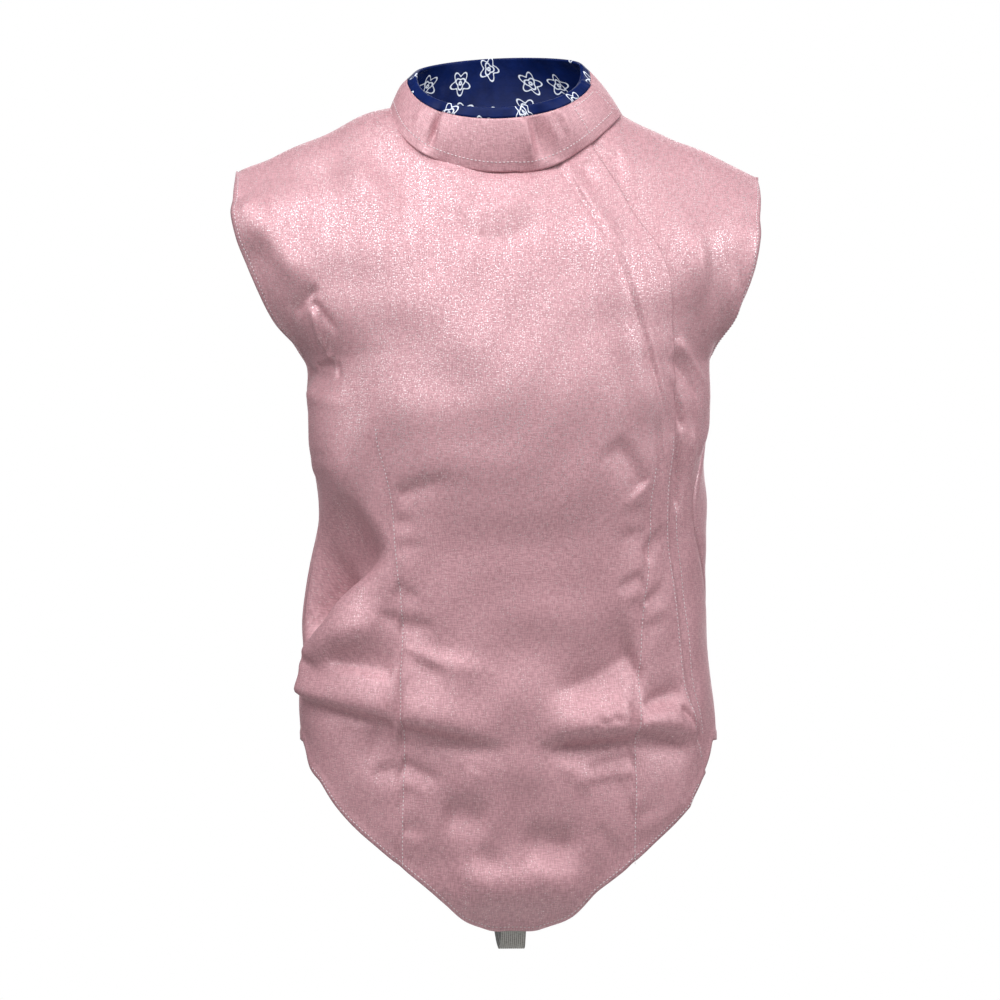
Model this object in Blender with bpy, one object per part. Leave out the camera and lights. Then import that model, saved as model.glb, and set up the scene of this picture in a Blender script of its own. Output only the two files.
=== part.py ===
"""A sleeveless fencing jacket of conductive cloth, filled out as if worn, with nobody in it.

Metres, +Z up. The jacket's front faces -Y and the wearer's left is +X. The origin is in the middle
of the neck, level with the inner ends of the shoulder seams, where a wearer would hold it up.

The cloth is one body surface, made of level sections. A place on it is given by the arc length
across from the centre line of the front or of the back, and by its height. Each panel is a piece of
that surface between two side edges, a top line and a hem, with its folds, and has a real wall.
"""

import math
from functools import partial

import bmesh
import bpy
import numpy as np

CLOTH = 0.0015
SEAM_GAP = 0.0003

# Level sections: half widths on the wearer's right and left, and how far the cloth reaches
# forward and back of the side seams.
SECTION_COLUMNS = ("height", "right", "left", "front", "back")
SECTIONS = (
    (-0.670, 0.166, 0.168, 0.062, 0.100),
    (-0.640, 0.166, 0.168, 0.080, 0.100),
    (-0.618, 0.166, 0.168, 0.094, 0.100),
    (-0.596, 0.166, 0.168, 0.099, 0.100),
    (-0.550, 0.166, 0.168, 0.105, 0.100),
    (-0.506, 0.164, 0.168, 0.109, 0.100),
    (-0.474, 0.165, 0.166, 0.110, 0.097),
    (-0.442, 0.162, 0.162, 0.108, 0.091),
    (-0.410, 0.163, 0.161, 0.107, 0.085),
    (-0.362, 0.156, 0.160, 0.108, 0.079),
    (-0.330, 0.150, 0.160, 0.111, 0.079),
    (-0.282, 0.154, 0.160, 0.119, 0.085),
    (-0.234, 0.159, 0.161, 0.125, 0.093),
    (-0.202, 0.161, 0.162, 0.124, 0.097),
    (-0.170, 0.188, 0.172, 0.119, 0.100),
    (-0.138, 0.206, 0.184, 0.111, 0.101),
    (-0.106, 0.216, 0.194, 0.101, 0.100),
    (-0.074, 0.219, 0.201, 0.091, 0.098),
    (-0.054, 0.216, 0.203, 0.086, 0.097),
    (0.000, 0.216, 0.203, 0.078, 0.094),
    (0.030, 0.216, 0.203, 0.074, 0.090),
)
ROUNDNESS = {"front": 2.3, "back": 2.4}

# The line along the top of the shoulders, from the middle of the neck out to each shoulder's tip.
SHOULDER_COLUMNS = ("across", "right", "left")
SHOULDER = (
    (0.000, 0.014, 0.014),
    (0.060, 0.007, 0.006),
    (0.092, -0.001, -0.004),
    (0.120, -0.010, -0.018),
    (0.150, -0.024, -0.032),
    (0.180, -0.037, -0.045),
    (0.214, -0.052, -0.060),
)
SHOULDER_ROLL = {"front": 0.130, "back": 0.105}
TIP_ROLL = 0.022
TIP_ACROSS = 0.214

ARMHOLE_TOP = {"right": -0.052, "left": -0.0575}
ARMHOLE_FOOT = {"right": -0.198, "left": -0.202}
ARMHOLE_REACH = {"front": 0.062, "back": 0.058}
ARMHOLE_INSET = {"front": 0.0, "back": 0.012}

NECK_HALF = 0.092
NECK_DROP = {"front": 0.0665, "back": 0.0110}
NECK_CURVE = {"front right": 0.52, "front left": 1.12, "back": 1.0}

# The hem: level at the back, and cut down to a blunt point at the front.
HEM_COLUMNS = ("across", "height")
FRONT_HEM = (
    (0.000, -0.6535),
    (0.018, -0.6530),
    (0.036, -0.6435),
    (0.070, -0.6170),
    (0.107, -0.5860),
    (0.134, -0.5605),
    (0.150, -0.5365),
    (0.160, -0.5180),
    (0.163, -0.5050),
)
HEM_SIDE = 0.163
BACK_HEM_SIDE = -0.505
BACK_HEM_DROP = 0.010

# The free edge of the flap that covers the fastening, on the wearer's left.
CLOSURE_COLUMNS = ("height", "across")
CLOSURE = (
    (-0.530, 0.155),
    (-0.505, 0.150),
    (-0.475, 0.142),
    (-0.447, 0.136),
    (-0.421, 0.133),
    (-0.374, 0.127),
    (-0.323, 0.121),
    (-0.267, 0.124),
    (-0.204, 0.124),
    (-0.158, 0.123),
    (-0.139, 0.121),
    (-0.112, 0.112),
    (-0.086, 0.094),
    (-0.064, 0.082),
    (-0.031, 0.062),
    (0.030, 0.028),
)
UNDERLAP = 0.014
UNDERLAP_SINK = CLOTH + SEAM_GAP
UNDERLAP_RAMP = 0.022

# The two long stitched darts in the front. Above their tops the rows only guide the mesh.
DART_COLUMNS = ("height", "right", "left")
DARTS = (
    (-0.670, -0.091, 0.093),
    (-0.522, -0.091, 0.093),
    (-0.458, -0.091, 0.096),
    (-0.394, -0.091, 0.098),
    (-0.346, -0.094, 0.103),
    (-0.314, -0.096, 0.102),
    (-0.262, -0.107, 0.106),
    (-0.200, -0.108, 0.096),
    (-0.120, -0.103, 0.072),
    (-0.050, -0.095, 0.044),
    (-0.004, -0.092, 0.028),
    (0.030, -0.092, 0.020),
)
DART_TOP = {"right": -0.255, "left": -0.286}
DART_DEPTH = 0.0016
DART_WIDTH = 0.0045

# The left side seam is pulled forward at the waist.
SEAM_PULL = 0.054
SEAM_PULL_HEIGHT = -0.318
SEAM_PULL_SPREAD = 0.062

# Folds die away over this width at the side seams, and over this height above their tops.
SEAM_FADE = 0.022
SEAM_FADE_TOP = 0.020

# Folds: their two ends, on the front or back as seen squarely from outside, how far the middle
# bows up, the soft widths above and below, the height (less than nothing is a trough), and the
# shares of the length over which the ends fade.
FOLD_COLUMNS = ("x0", "z0", "x1", "z1", "bow", "above", "below", "rise", "fade0", "fade1")
FRONT_FOLDS = (
    (-0.165, -0.412, -0.098, -0.342, 0.004, 0.040, 0.014, -0.0150, 0.12, 0.35),
    (-0.166, -0.442, -0.094, -0.402, -0.003, 0.017, 0.012, 0.0082, 0.15, 0.30),
    (-0.168, -0.463, -0.090, -0.479, 0.002, 0.018, 0.011, 0.0085, 0.10, 0.15),
    (-0.094, -0.480, 0.000, -0.499, 0.001, 0.018, 0.011, 0.0072, 0.10, 0.60),
    (-0.150, -0.492, -0.010, -0.516, 0.000, 0.011, 0.020, -0.0045, 0.25, 0.50),
    (0.010, -0.494, 0.094, -0.489, 0.002, 0.020, 0.011, 0.0078, 0.40, 0.15),
    (0.092, -0.487, 0.154, -0.498, 0.002, 0.016, 0.011, 0.0066, 0.15, 0.30),
    (0.012, -0.512, 0.148, -0.513, 0.002, 0.011, 0.018, -0.0045, 0.30, 0.30),
    (0.018, -0.464, 0.095, -0.421, -0.002, 0.018, 0.012, -0.0062, 0.50, 0.15),
    (0.098, -0.471, 0.140, -0.460, 0.001, 0.010, 0.010, -0.0040, 0.20, 0.40),
    (0.062, -0.060, 0.118, -0.292, -0.012, 0.016, 0.014, 0.0046, 0.20, 0.50),
    (-0.140, -0.040, -0.084, -0.112, 0.004, 0.016, 0.016, 0.0052, 0.30, 0.60),
    (-0.212, -0.074, -0.158, -0.152, 0.002, 0.013, 0.013, 0.0060, 0.20, 0.30),
    (0.194, -0.084, 0.158, -0.190, 0.002, 0.014, 0.014, 0.0052, 0.20, 0.35),
    (0.134, -0.074, 0.140, -0.176, 0.002, 0.014, 0.014, 0.0040, 0.40, 0.50),
    (-0.050, -0.528, 0.050, -0.532, 0.004, 0.016, 0.016, 0.0034, 0.50, 0.50),
    (-0.090, -0.612, 0.070, -0.614, -0.006, 0.016, 0.016, 0.0034, 0.50, 0.50),
)
BACK_FOLDS = (
    (-0.120, -0.070, -0.030, -0.160, -0.008, 0.018, 0.018, 0.0040, 0.40, 0.60),
    (0.120, -0.076, 0.040, -0.170, 0.008, 0.018, 0.018, 0.0042, 0.40, 0.60),
    (-0.190, -0.110, -0.140, -0.190, 0.003, 0.014, 0.014, 0.0046, 0.20, 0.40),
    (0.190, -0.106, 0.142, -0.186, -0.003, 0.014, 0.014, 0.0046, 0.20, 0.40),
    (-0.150, -0.300, -0.050, -0.350, 0.006, 0.018, 0.018, 0.0052, 0.20, 0.60),
    (0.150, -0.310, 0.060, -0.356, 0.004, 0.018, 0.018, 0.0054, 0.20, 0.60),
    (-0.150, -0.392, -0.010, -0.404, -0.006, 0.018, 0.014, 0.0056, 0.20, 0.50),
    (0.150, -0.400, 0.030, -0.418, -0.005, 0.018, 0.014, 0.0056, 0.20, 0.50),
    (-0.110, -0.446, 0.110, -0.452, 0.006, 0.018, 0.016, 0.0050, 0.40, 0.40),
)

# The collar stands on the neckline. Angles run from the wearer's left round by the back. Its far
# end laps over its near end, on the wearer's left of the front.
COLLAR_CLOTH = 0.0016
FACING_CLOTH = 0.0010
COLLAR_RAISE = 0.0016
COLLAR_BAND = 0.0085
COLLAR_START = -57.0
COLLAR_END = 340.0
LAP_FROM = 283.0
LAP_TO = 300.0
LAP_RISE = COLLAR_CLOTH + FACING_CLOTH + 2 * SEAM_GAP
COLLAR_TOP_HALF = 0.0700
COLLAR_TOP_MIDDLE = (-0.004, -0.011)
COLLAR_TOP_REACH = {"front": 0.055, "back": 0.053}
COLLAR_TOP_SIDE = 0.030
COLLAR_TOP_CHANGE = {"front": -0.034, "back": 0.012}
COLLAR_TOP_CURVE = 0.80
COLLAR_BULGE = 0.0025
COLLAR_FOLD_COLUMNS = ("angle", "spread", "rise")
COLLAR_FOLDS = (
    (222.0, 6.0, -0.0028),
    (233.0, 6.0, 0.0022),
    (268.0, 5.0, 0.0030),
    (281.0, 6.0, -0.0034),
    (294.0, 5.0, 0.0024),
    (60.0, 8.0, 0.0022),
    (118.0, 8.0, -0.0022),
)

# The elastic strap: sewn inside the front's point, it hangs below it and goes up to the back's hem.
STRAP_WIDTH = 0.020
STRAP_CLOTH = 0.0016
STRAP_FRONT_TOP = -0.632
STRAP_BACK_TOP = -0.494
STRAP_COLUMNS = ("y", "z")
STRAP_ROUTE = (
    (-0.0660, -0.6600),
    (-0.0610, -0.6660),
    (-0.0520, -0.6682),
    (-0.0380, -0.6670),
    (-0.0140, -0.6590),
    (0.0180, -0.6430),
    (0.0500, -0.6120),
    (0.0740, -0.5740),
    (0.0890, -0.5400),
)

# Rows of a panel, as shares of the way down it: closer over the shoulders and at the armhole's foot.
ROW_SHARES = (0.000, 0.006, 0.022, 0.046, 0.078, 0.114, 0.152, 0.190, 0.228, 0.262, 0.288, 0.306)
ROW_SHARES += (0.317, 0.3226) + tuple(0.3226 + 0.6774 * k / 22 for k in range(1, 23))
EVEN_BELOW = 0.4
COLLAR_COLUMNS = 54
COLLAR_ROWS = 4
FACING_BEND_STEPS = 5
STRAP_STEPS = 16

LAME = ("lame", (0.80, 0.60, 0.64), 0.42, 0.55)
SATIN = ("satin", (0.02, 0.05, 0.25), 0.35, 0.0)
ELASTIC = ("elastic", (0.62, 0.61, 0.57), 0.80, 0.0)


def column(rows, columns, name):
    return np.array([row[columns.index(name)] for row in rows])


def through(at, places, values):
    """The smooth curve through a table's rows, read at any places."""
    slopes = np.gradient(values, places)
    at = np.clip(at, places[0], places[-1])
    i = np.clip(np.searchsorted(places, at) - 1, 0, len(places) - 2)
    span = places[i + 1] - places[i]
    t = (at - places[i]) / span
    return (
        values[i] * (1 + 2 * t) * (1 - t) ** 2
        + slopes[i] * span * t * (1 - t) ** 2
        + values[i + 1] * t * t * (3 - 2 * t)
        - slopes[i + 1] * span * t * t * (1 - t)
    )


def ease(t):
    t = np.clip(t, 0, 1)
    return t * t * (3 - 2 * t)


def section(name, z):
    heights = column(SECTIONS, SECTION_COLUMNS, "height")
    return through(z, heights, column(SECTIONS, SECTION_COLUMNS, name))


def shoulder_line(x):
    across = column(SHOULDER, SHOULDER_COLUMNS, "across")
    right = through(np.abs(x), across, column(SHOULDER, SHOULDER_COLUMNS, "right"))
    left = through(np.abs(x), across, column(SHOULDER, SHOULDER_COLUMNS, "left"))
    return np.where(np.asarray(x) > 0, left, right)


def armhole_foot(hand):
    return np.where(np.asarray(hand) > 0, ARMHOLE_FOOT["left"], ARMHOLE_FOOT["right"])


def oval(side, hand, z):
    """The level section: its reach, the half width of its full oval and the angle of its edge."""
    top = np.where(hand > 0, ARMHOLE_TOP["left"], ARMHOLE_TOP["right"])
    bottom = armhole_foot(hand)
    level = np.minimum(z, top)
    half = np.where(hand > 0, section("left", level), section("right", level))
    reach = section(side, z)
    middle = (top + bottom) / 2
    span = (top - bottom) / 2
    deep = np.clip(1 - ((level - middle) / span) ** 2, 0, 1)
    cut = ARMHOLE_REACH[side] * np.sqrt(deep)
    half = half - ARMHOLE_INSET[side] * deep
    power = ROUNDNESS[side]
    edge = (1 - (cut / reach) ** power) ** (1 / power)
    return reach, half / edge, np.arcsin(edge)


def edge_arc(side, hand, z):
    """The arc length across from the centre line to the side seam, or to the armhole's edge."""
    reach, full, edge = oval(side, hand, z)
    return full * np.sin(edge) + reach * (edge - np.sin(edge))


def arc_at(side, x, z):
    """The arc length across to the place seen at x from straight in front, or from behind."""
    reach, full, _ = oval(side, np.sign(x) + 0.5, z)
    angle = np.arcsin(np.clip(np.abs(x) / full, 0, 1))
    return np.sign(x) * (full * np.sin(angle) + reach * (angle - np.sin(angle)))


def flat_section(side, arc, hand, z):
    """x and y at an arc length on the level section, before the shoulders are rounded."""
    reach, full, _ = oval(side, hand, z)
    angle = np.clip(arc / (0.5 * (full + reach)), 0, 1.5)
    for _ in range(8):
        error = full * np.sin(angle) + reach * (angle - np.sin(angle)) - arc
        slope = full * np.cos(angle) + reach * (1 - np.cos(angle))
        angle = np.clip(angle - error / slope, 0, math.pi / 2)
    power = ROUNDNESS[side]
    depth = reach * np.clip(1 - np.sin(angle) ** power, 0, 1) ** (1 / power)
    return hand * full * np.sin(angle), (-depth if side == "front" else depth)


def hand_of(across):
    return np.where(np.asarray(across) >= 0, 1.0, -1.0)


def across_to_x(side, across, z):
    return flat_section(side, np.abs(across), hand_of(across), z)[0]


def on_body(side, across, z):
    """A point of the body surface. An arc past the side seam goes on round to the other side."""
    across, z = np.broadcast_arrays(np.asarray(across, float), np.asarray(z, float))
    hand = hand_of(across)
    arc = np.abs(across)
    limit = edge_arc(side, hand, z)
    other = "back" if side == "front" else "front"
    x, y = flat_section(side, np.minimum(arc, limit), hand, z)
    beyond = (arc > limit) & (z < armhole_foot(hand))
    round_it = edge_arc(other, hand, z) - (arc - limit)
    far_x, far_y = flat_section(other, np.maximum(round_it, 0), hand, z)
    x, y = np.where(beyond, far_x, x), np.where(beyond, far_y, y)
    roll = SHOULDER_ROLL[side]
    roll = roll + (TIP_ROLL - roll) * np.minimum(np.abs(x) / TIP_ACROSS, 1) ** 3
    below = np.clip((shoulder_line(x) - z) / roll, 0, 1)
    return np.stack([x, y * np.sqrt(1 - (1 - below) ** 2), z + 0 * x], axis=-1)


def unit(vectors):
    return vectors / np.linalg.norm(vectors, axis=-1, keepdims=True)


def outward(side, across, z):
    """The direction square to the body surface, outwards."""
    step = 0.0005
    along = on_body(side, across + step, z) - on_body(side, across - step, z)
    up = on_body(side, across, z + step) - on_body(side, across, z - step)
    return unit(np.cross(along, up) * (1 if side == "front" else -1))


def seam_pull(hand, z):
    pull = SEAM_PULL * np.exp(-(((z - SEAM_PULL_HEIGHT) / SEAM_PULL_SPREAD) ** 2))
    return np.where(np.asarray(hand) > 0, pull * ease((armhole_foot(hand) - z) / 0.03), 0.0)


def off_seam(side, across, z):
    """Nothing at the side seam and whole inside it, and whole at the free edge of the armhole."""
    hand = hand_of(across)
    forward = -1 if side == "front" else 1
    inside = edge_arc(side, hand, z) + forward * seam_pull(hand, z) - np.abs(across)
    free = 1 - ease((armhole_foot(hand) + SEAM_FADE_TOP - z) / SEAM_FADE_TOP)
    return np.maximum(ease(inside / SEAM_FADE), free)


def folds(side, across, z):
    """How far the folds move the cloth out from the body surface."""
    moved = np.zeros(np.shape(across))
    for x0, z0, x1, z1, bow, above, below, rise, fade0, fade1 in (
        FRONT_FOLDS if side == "front" else BACK_FOLDS
    ):
        a0, a1 = float(arc_at(side, x0, z0)), float(arc_at(side, x1, z1))
        if a1 < a0:
            a0, z0, a1, z1, fade0, fade1 = a1, z1, a0, z0, fade1, fade0
        length = math.hypot(a1 - a0, z1 - z0)
        run, climb = (a1 - a0) / length, (z1 - z0) / length
        t = ((across - a0) * run + (z - z0) * climb) / length
        off = (z - z0) * run - (across - a0) * climb - bow * 4 * t * (1 - t)
        width = np.where(off > 0, above, below)
        moved += rise * ease(t / fade0) * ease((1 - t) / fade1) * np.exp(-((off / width) ** 2))
    return moved * off_seam(side, across, z)


def closure(z):
    """The arc length across to the free edge of the flap."""
    heights = column(CLOSURE, CLOSURE_COLUMNS, "height")
    return arc_at("front", through(z, heights, column(CLOSURE, CLOSURE_COLUMNS, "across")), z)


def dart(which, z):
    heights = column(DARTS, DART_COLUMNS, "height")
    return arc_at("front", through(z, heights, column(DARTS, DART_COLUMNS, which)), z)


def dart_grooves(across, z):
    moved = np.zeros(np.shape(across))
    for which in ("right", "left"):
        depth = DART_DEPTH * ease((DART_TOP[which] - z) / 0.04)
        off = (across - dart(which, z)) / DART_WIDTH
        moved -= depth * np.exp(-(off**2))
    return moved


def underlap_sink(across, z):
    return -UNDERLAP_SINK * (1 - ease((across - closure(z)) / UNDERLAP_RAMP))


def neckline(side, x):
    share = np.clip(1 - (np.asarray(x) / NECK_HALF) ** 2, 0, 1)
    curve = NECK_CURVE["back"]
    if side == "front":
        curve = np.where(np.asarray(x) > 0, NECK_CURVE["front left"], NECK_CURVE["front right"])
    return shoulder_line(x) - NECK_DROP[side] * share**curve


def top_line(side, x):
    return np.where(np.abs(x) < NECK_HALF, neckline(side, x), shoulder_line(x))


def hem_line(side, x):
    if side == "back":
        return BACK_HEM_SIDE - BACK_HEM_DROP * (1 - np.clip(x / HEM_SIDE, -1, 1) ** 2)
    across = column(FRONT_HEM, HEM_COLUMNS, "across")
    return through(np.abs(x), across, column(FRONT_HEM, HEM_COLUMNS, "height"))


def material(name, colour, roughness, metallic):
    made = bpy.data.materials.get(name)
    if made is None:
        made = bpy.data.materials.new(name)
        made.use_nodes = True
        shader = made.node_tree.nodes["Principled BSDF"]
        shader.inputs["Base Color"].default_value = (*colour, 1)
        shader.inputs["Roughness"].default_value = roughness
        shader.inputs["Metallic"].default_value = metallic
    return made


def walled_sheet(name, outer, inner, stuff):
    """A closed wall between two grids of points, the outer one and the inner one. Its quads are cut
    along the same diagonal on both sides, so that layers over each other stay parallel."""
    rows, columns = outer.shape[:2]
    bm = bmesh.new()
    near = [[bm.verts.new(p) for p in row] for row in outer]
    far = [[bm.verts.new(p) for p in row] for row in inner]
    for i in range(rows - 1):
        for j in range(columns - 1):
            for grid, step in ((near, 1), (far, -1)):
                start, end = grid[i][j], grid[i + 1][j + 1]
                bm.faces.new((start, grid[i][j + 1], end)[::step])
                bm.faces.new((start, end, grid[i + 1][j])[::step])
    around = [(0, j) for j in range(columns)]
    around += [(i, columns - 1) for i in range(1, rows)]
    around += [(rows - 1, j) for j in range(columns - 2, -1, -1)]
    around += [(i, 0) for i in range(rows - 2, 0, -1)]
    for (i, j), (k, m) in zip(around, around[1:] + around[:1]):
        bm.faces.new((near[k][m], near[i][j], far[i][j], far[k][m]))
    bmesh.ops.recalc_face_normals(bm, faces=bm.faces)
    mesh = bpy.data.meshes.new(name)
    bm.to_mesh(mesh)
    bm.free()
    mesh.materials.append(material(*stuff))
    mesh.shade_smooth()
    made = bpy.data.objects.new(name, mesh)
    bpy.context.scene.collection.objects.link(made)


def build_panel(name, side, guides, counts, lifts):
    """A body panel. Guides are lines down it, as arc lengths across at each height. The counts of
    columns between them come with how much the columns crowd to one guide at the neck."""

    def across_at(share, z):
        lines = np.stack([guide(z) for guide in guides])
        k = np.clip(share.astype(int), 0, len(guides) - 2)
        near = np.take_along_axis(lines, k[None], 0)[0]
        far = np.take_along_axis(lines, k[None] + 1, 0)[0]
        return near + (far - near) * (share - k)

    def meet(share, line, low, high):
        low, high = np.full(share.shape, low), np.full(share.shape, high)
        for _ in range(36):
            z = (low + high) / 2
            over = z > line(side, across_to_x(side, across_at(share, z), z))
            low, high = np.where(over, low, z), np.where(over, z, high)
        return (low + high) / 2

    steps = [np.arange(count) / count for count, _ in counts]
    even = np.concatenate([k + step for k, step in enumerate(steps)] + [[len(counts)]])
    crowded = [
        k + (step**power if power > 0 else 1 - (1 - step) ** -power)
        for (k, step), (_, power) in zip(enumerate(steps), counts)
    ]
    crowded = np.concatenate(crowded + [[len(counts)]])
    top = meet(crowded, top_line, -0.12, 0.03)
    foot = meet(even, hem_line, -0.67, -0.45)
    down = np.array(ROW_SHARES)[:, None]
    z = top + (foot - top) * down
    share = even + (crowded - even) * (1 - ease(down / EVEN_BELOW))
    across = across_at(share, z)
    base = on_body(side, across, z)
    out = outward(side, across, z)
    shoulder = np.abs(base[0, :, 0]) >= NECK_HALF - SEAM_GAP
    out[0, shoulder, 1] = 0
    out = unit(out)
    base[0, shoulder, 1] += (-0.5 if side == "front" else 0.5) * SEAM_GAP
    outer = base + out * sum(lift(across, z) for lift in lifts)[..., None]
    walled_sheet(name, outer, outer - out * CLOTH, LAME)


def side_guide(side, hand):
    """The side edge of a front or back panel, half a seam gap short of the seam."""
    forward = -1 if side == "front" else 1

    def guide(z):
        seam = edge_arc(side, hand, z) + forward * seam_pull(hand, z)
        return hand * (seam - SEAM_GAP / 2 * ease((armhole_foot(hand) + 0.01 - z) / 0.01))

    return guide


def corner_guide(side, hand):
    """A line down from where the neck and the shoulder seam meet."""
    return lambda z: arc_at(side, np.full(np.shape(z), hand * NECK_HALF), z)


def side_front_guide(z):
    """A line down the side front from the same corner, at a fixed share of its width."""
    corner = shoulder_line(NECK_HALF)
    edge = side_guide("front", 1.0)
    share = (arc_at("front", NECK_HALF, corner) - closure(corner)) / (edge(corner) - closure(corner))
    return closure(z) + share * (edge(z) - closure(z))


def build_front():
    guides = [side_guide("front", -1.0)]
    for which in ("right", "left"):
        for shift in (-1, 0, 1):
            guides.append(
                lambda z, which=which, shift=shift: dart(which, z)
                + shift * DART_WIDTH * (1 - 0.75 * ease((z + 0.20) / 0.15))
            )
    guides += [lambda z: closure(z) - UNDERLAP, closure]
    counts = ((7, 1.0), (1, 1.0), (1, 1.0), (11, 1.5), (1, 1.0), (1, 1.0), (2, 1.0), (2, 1.0))
    build_panel("front", "front", guides, counts, (partial(folds, "front"), dart_grooves))


def build_side_front():
    guides = (
        lambda z: closure(z) - UNDERLAP,
        closure,
        side_front_guide,
        side_guide("front", 1.0),
    )
    counts = ((2, 1.0), (4, -1.3), (4, 1.0))
    lifts = (partial(folds, "front"), underlap_sink)
    build_panel("side_front", "front", guides, counts, lifts)


def build_back():
    guides = [side_guide("back", -1.0), corner_guide("back", -1.0)]
    guides += [lambda z: 0 * z, corner_guide("back", 1.0), side_guide("back", 1.0)]
    counts = ((5, 1.0), (5, 1.5), (5, -1.5), (5, 1.0))
    build_panel("back", "back", guides, counts, (partial(folds, "back"),))


def neck_ring(angle):
    """The line round the neck that the collar stands on."""
    x = NECK_HALF * np.cos(angle)
    points = []
    for side in ("front", "back"):
        z = neckline(side, x)
        points.append(on_body(side, arc_at(side, x, z), z))
    ring = np.where(np.sin(angle)[..., None] < 0, points[0], points[1])
    return ring + np.array((0, 0, COLLAR_RAISE))


def collar_top_ring(angle):
    ahead = np.sin(angle) < 0
    reach = np.where(ahead, COLLAR_TOP_REACH["front"], COLLAR_TOP_REACH["back"])
    change = np.where(ahead, COLLAR_TOP_CHANGE["front"], COLLAR_TOP_CHANGE["back"])
    x = COLLAR_TOP_MIDDLE[0] + COLLAR_TOP_HALF * np.cos(angle)
    y = COLLAR_TOP_MIDDLE[1] + reach * np.sin(angle)
    z = COLLAR_TOP_SIDE + change * np.abs(np.sin(angle)) ** COLLAR_TOP_CURVE
    return np.stack([x, y, z], axis=-1)


def collar_height(angle):
    return np.linalg.norm(collar_top_ring(angle) - neck_ring(angle), axis=-1)


def collar_place(turn, height, layer):
    """A point of the collar: its angle in degrees, how far up it, and how far out of it."""
    angle = np.radians(turn)
    step = 0.01
    foot, head = neck_ring(angle), collar_top_ring(angle)
    share = (height / np.linalg.norm(head - foot, axis=-1))[..., None]
    ahead = neck_ring(angle + step) * (1 - share) + collar_top_ring(angle + step) * share
    behind = neck_ring(angle - step) * (1 - share) + collar_top_ring(angle - step) * share
    out = unit(np.cross(ahead - behind, head - foot))
    belly = 4 * share[..., 0] * (1 - share[..., 0])
    lift = COLLAR_BULGE * belly + LAP_RISE * ease((turn - LAP_FROM) / (LAP_TO - LAP_FROM))
    for middle, spread, rise in COLLAR_FOLDS:
        off = (np.mod(turn, 360) - middle) / spread
        lift = lift + rise * belly * np.exp(-(off**2))
    return foot + (head - foot) * share + out * (lift + layer)[..., None]


def collar_turns(count):
    """Angles along the collar, in equal steps of length at its foot."""
    fine = np.linspace(COLLAR_START, COLLAR_END, 3000)
    ring = neck_ring(np.radians(fine))
    run = np.concatenate([[0], np.cumsum(np.linalg.norm(np.diff(ring, axis=0), axis=1))])
    return np.interp(np.linspace(0, run[-1], count + 1), run, fine)


def build_collar():
    turns = collar_turns(COLLAR_COLUMNS)
    full = collar_height(np.radians(turns))
    share = np.linspace(0, 1, COLLAR_ROWS + 1)[:, None]
    height = share * (full - COLLAR_BAND - SEAM_GAP)
    turn = turns + 0 * height
    outer = collar_place(turn, height, 0.0 * height)
    walled_sheet("collar", outer, collar_place(turn, height, 0.0 * height - COLLAR_CLOTH), LAME)


def build_facing():
    """Satin up the inside of the collar, over its top and a little way down the outside."""
    turns = collar_turns(COLLAR_COLUMNS)
    full = collar_height(np.radians(turns))
    through_it = COLLAR_CLOTH + SEAM_GAP + FACING_CLOTH
    bend = through_it / 2
    sides = []
    for inset in (0.0, FACING_CLOTH):
        layers, heights = [], []
        for share in np.linspace(0, 1, COLLAR_ROWS + 1):
            layers.append(inset - through_it + 0 * full)
            heights.append(share * (full - COLLAR_BAND - SEAM_GAP))
        layers.append(inset - through_it + 0 * full)
        heights.append(full - bend)
        for angle in np.linspace(math.pi, 0, FACING_BEND_STEPS + 1)[1:]:
            layers.append((bend - inset) * math.cos(angle) - bend + 0 * full)
            heights.append(full - bend + (bend - inset) * math.sin(angle))
        layers.append(-inset + 0 * full)
        heights.append(full - COLLAR_BAND)
        sides.append(collar_place(turns + 0 * np.array(heights), np.array(heights), np.array(layers)))
    walled_sheet("collar_facing", sides[0], sides[1], SATIN)


def build_strap():
    def inside(side, z):
        point = on_body(side, 0.0, z) - outward(side, 0.0, z) * (CLOTH + SEAM_GAP)
        return point[1:]

    front_foot, back_foot = float(hem_line("front", 0.0)), float(hem_line("back", 0.0))
    route = [inside("front", z) for z in np.linspace(STRAP_FRONT_TOP, front_foot, 3)]
    route += [np.array(row) for row in STRAP_ROUTE]
    route += [inside("back", z) for z in np.linspace(back_foot, STRAP_BACK_TOP, 3)]
    route = np.array(route)
    run = np.concatenate([[0], np.cumsum(np.linalg.norm(np.diff(route, axis=0), axis=1))])
    at = np.unique(np.concatenate([run[:3], np.linspace(run[2], run[-3], STRAP_STEPS), run[-3:]]))
    y, z = through(at, run, route[:, 0]), through(at, run, route[:, 1])
    along = unit(np.stack([np.gradient(y, at), np.gradient(z, at)], axis=-1))
    x = np.linspace(-STRAP_WIDTH / 2, STRAP_WIDTH / 2, 3)
    outer = np.stack([x + 0 * y[:, None], y[:, None] + 0 * x, z[:, None] + 0 * x], axis=-1)
    inward = np.stack([0 * y, -along[:, 1], along[:, 0]], axis=-1)[:, None, :]
    walled_sheet("strap", outer, outer + inward * STRAP_CLOTH, ELASTIC)


for left_over in list(bpy.data.objects):
    bpy.data.objects.remove(left_over)

build_front()
build_side_front()
build_back()
build_collar()
build_facing()
build_strap()
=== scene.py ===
"""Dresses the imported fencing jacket: woven metal cloth, satin collar lining, webbing and stitching.

Metres, +Z up, front to -Y, the wearer's left to +X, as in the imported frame.
"""

import math
from functools import partial

import bmesh
import bpy
import numpy as np
from mathutils import Matrix, Vector


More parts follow.
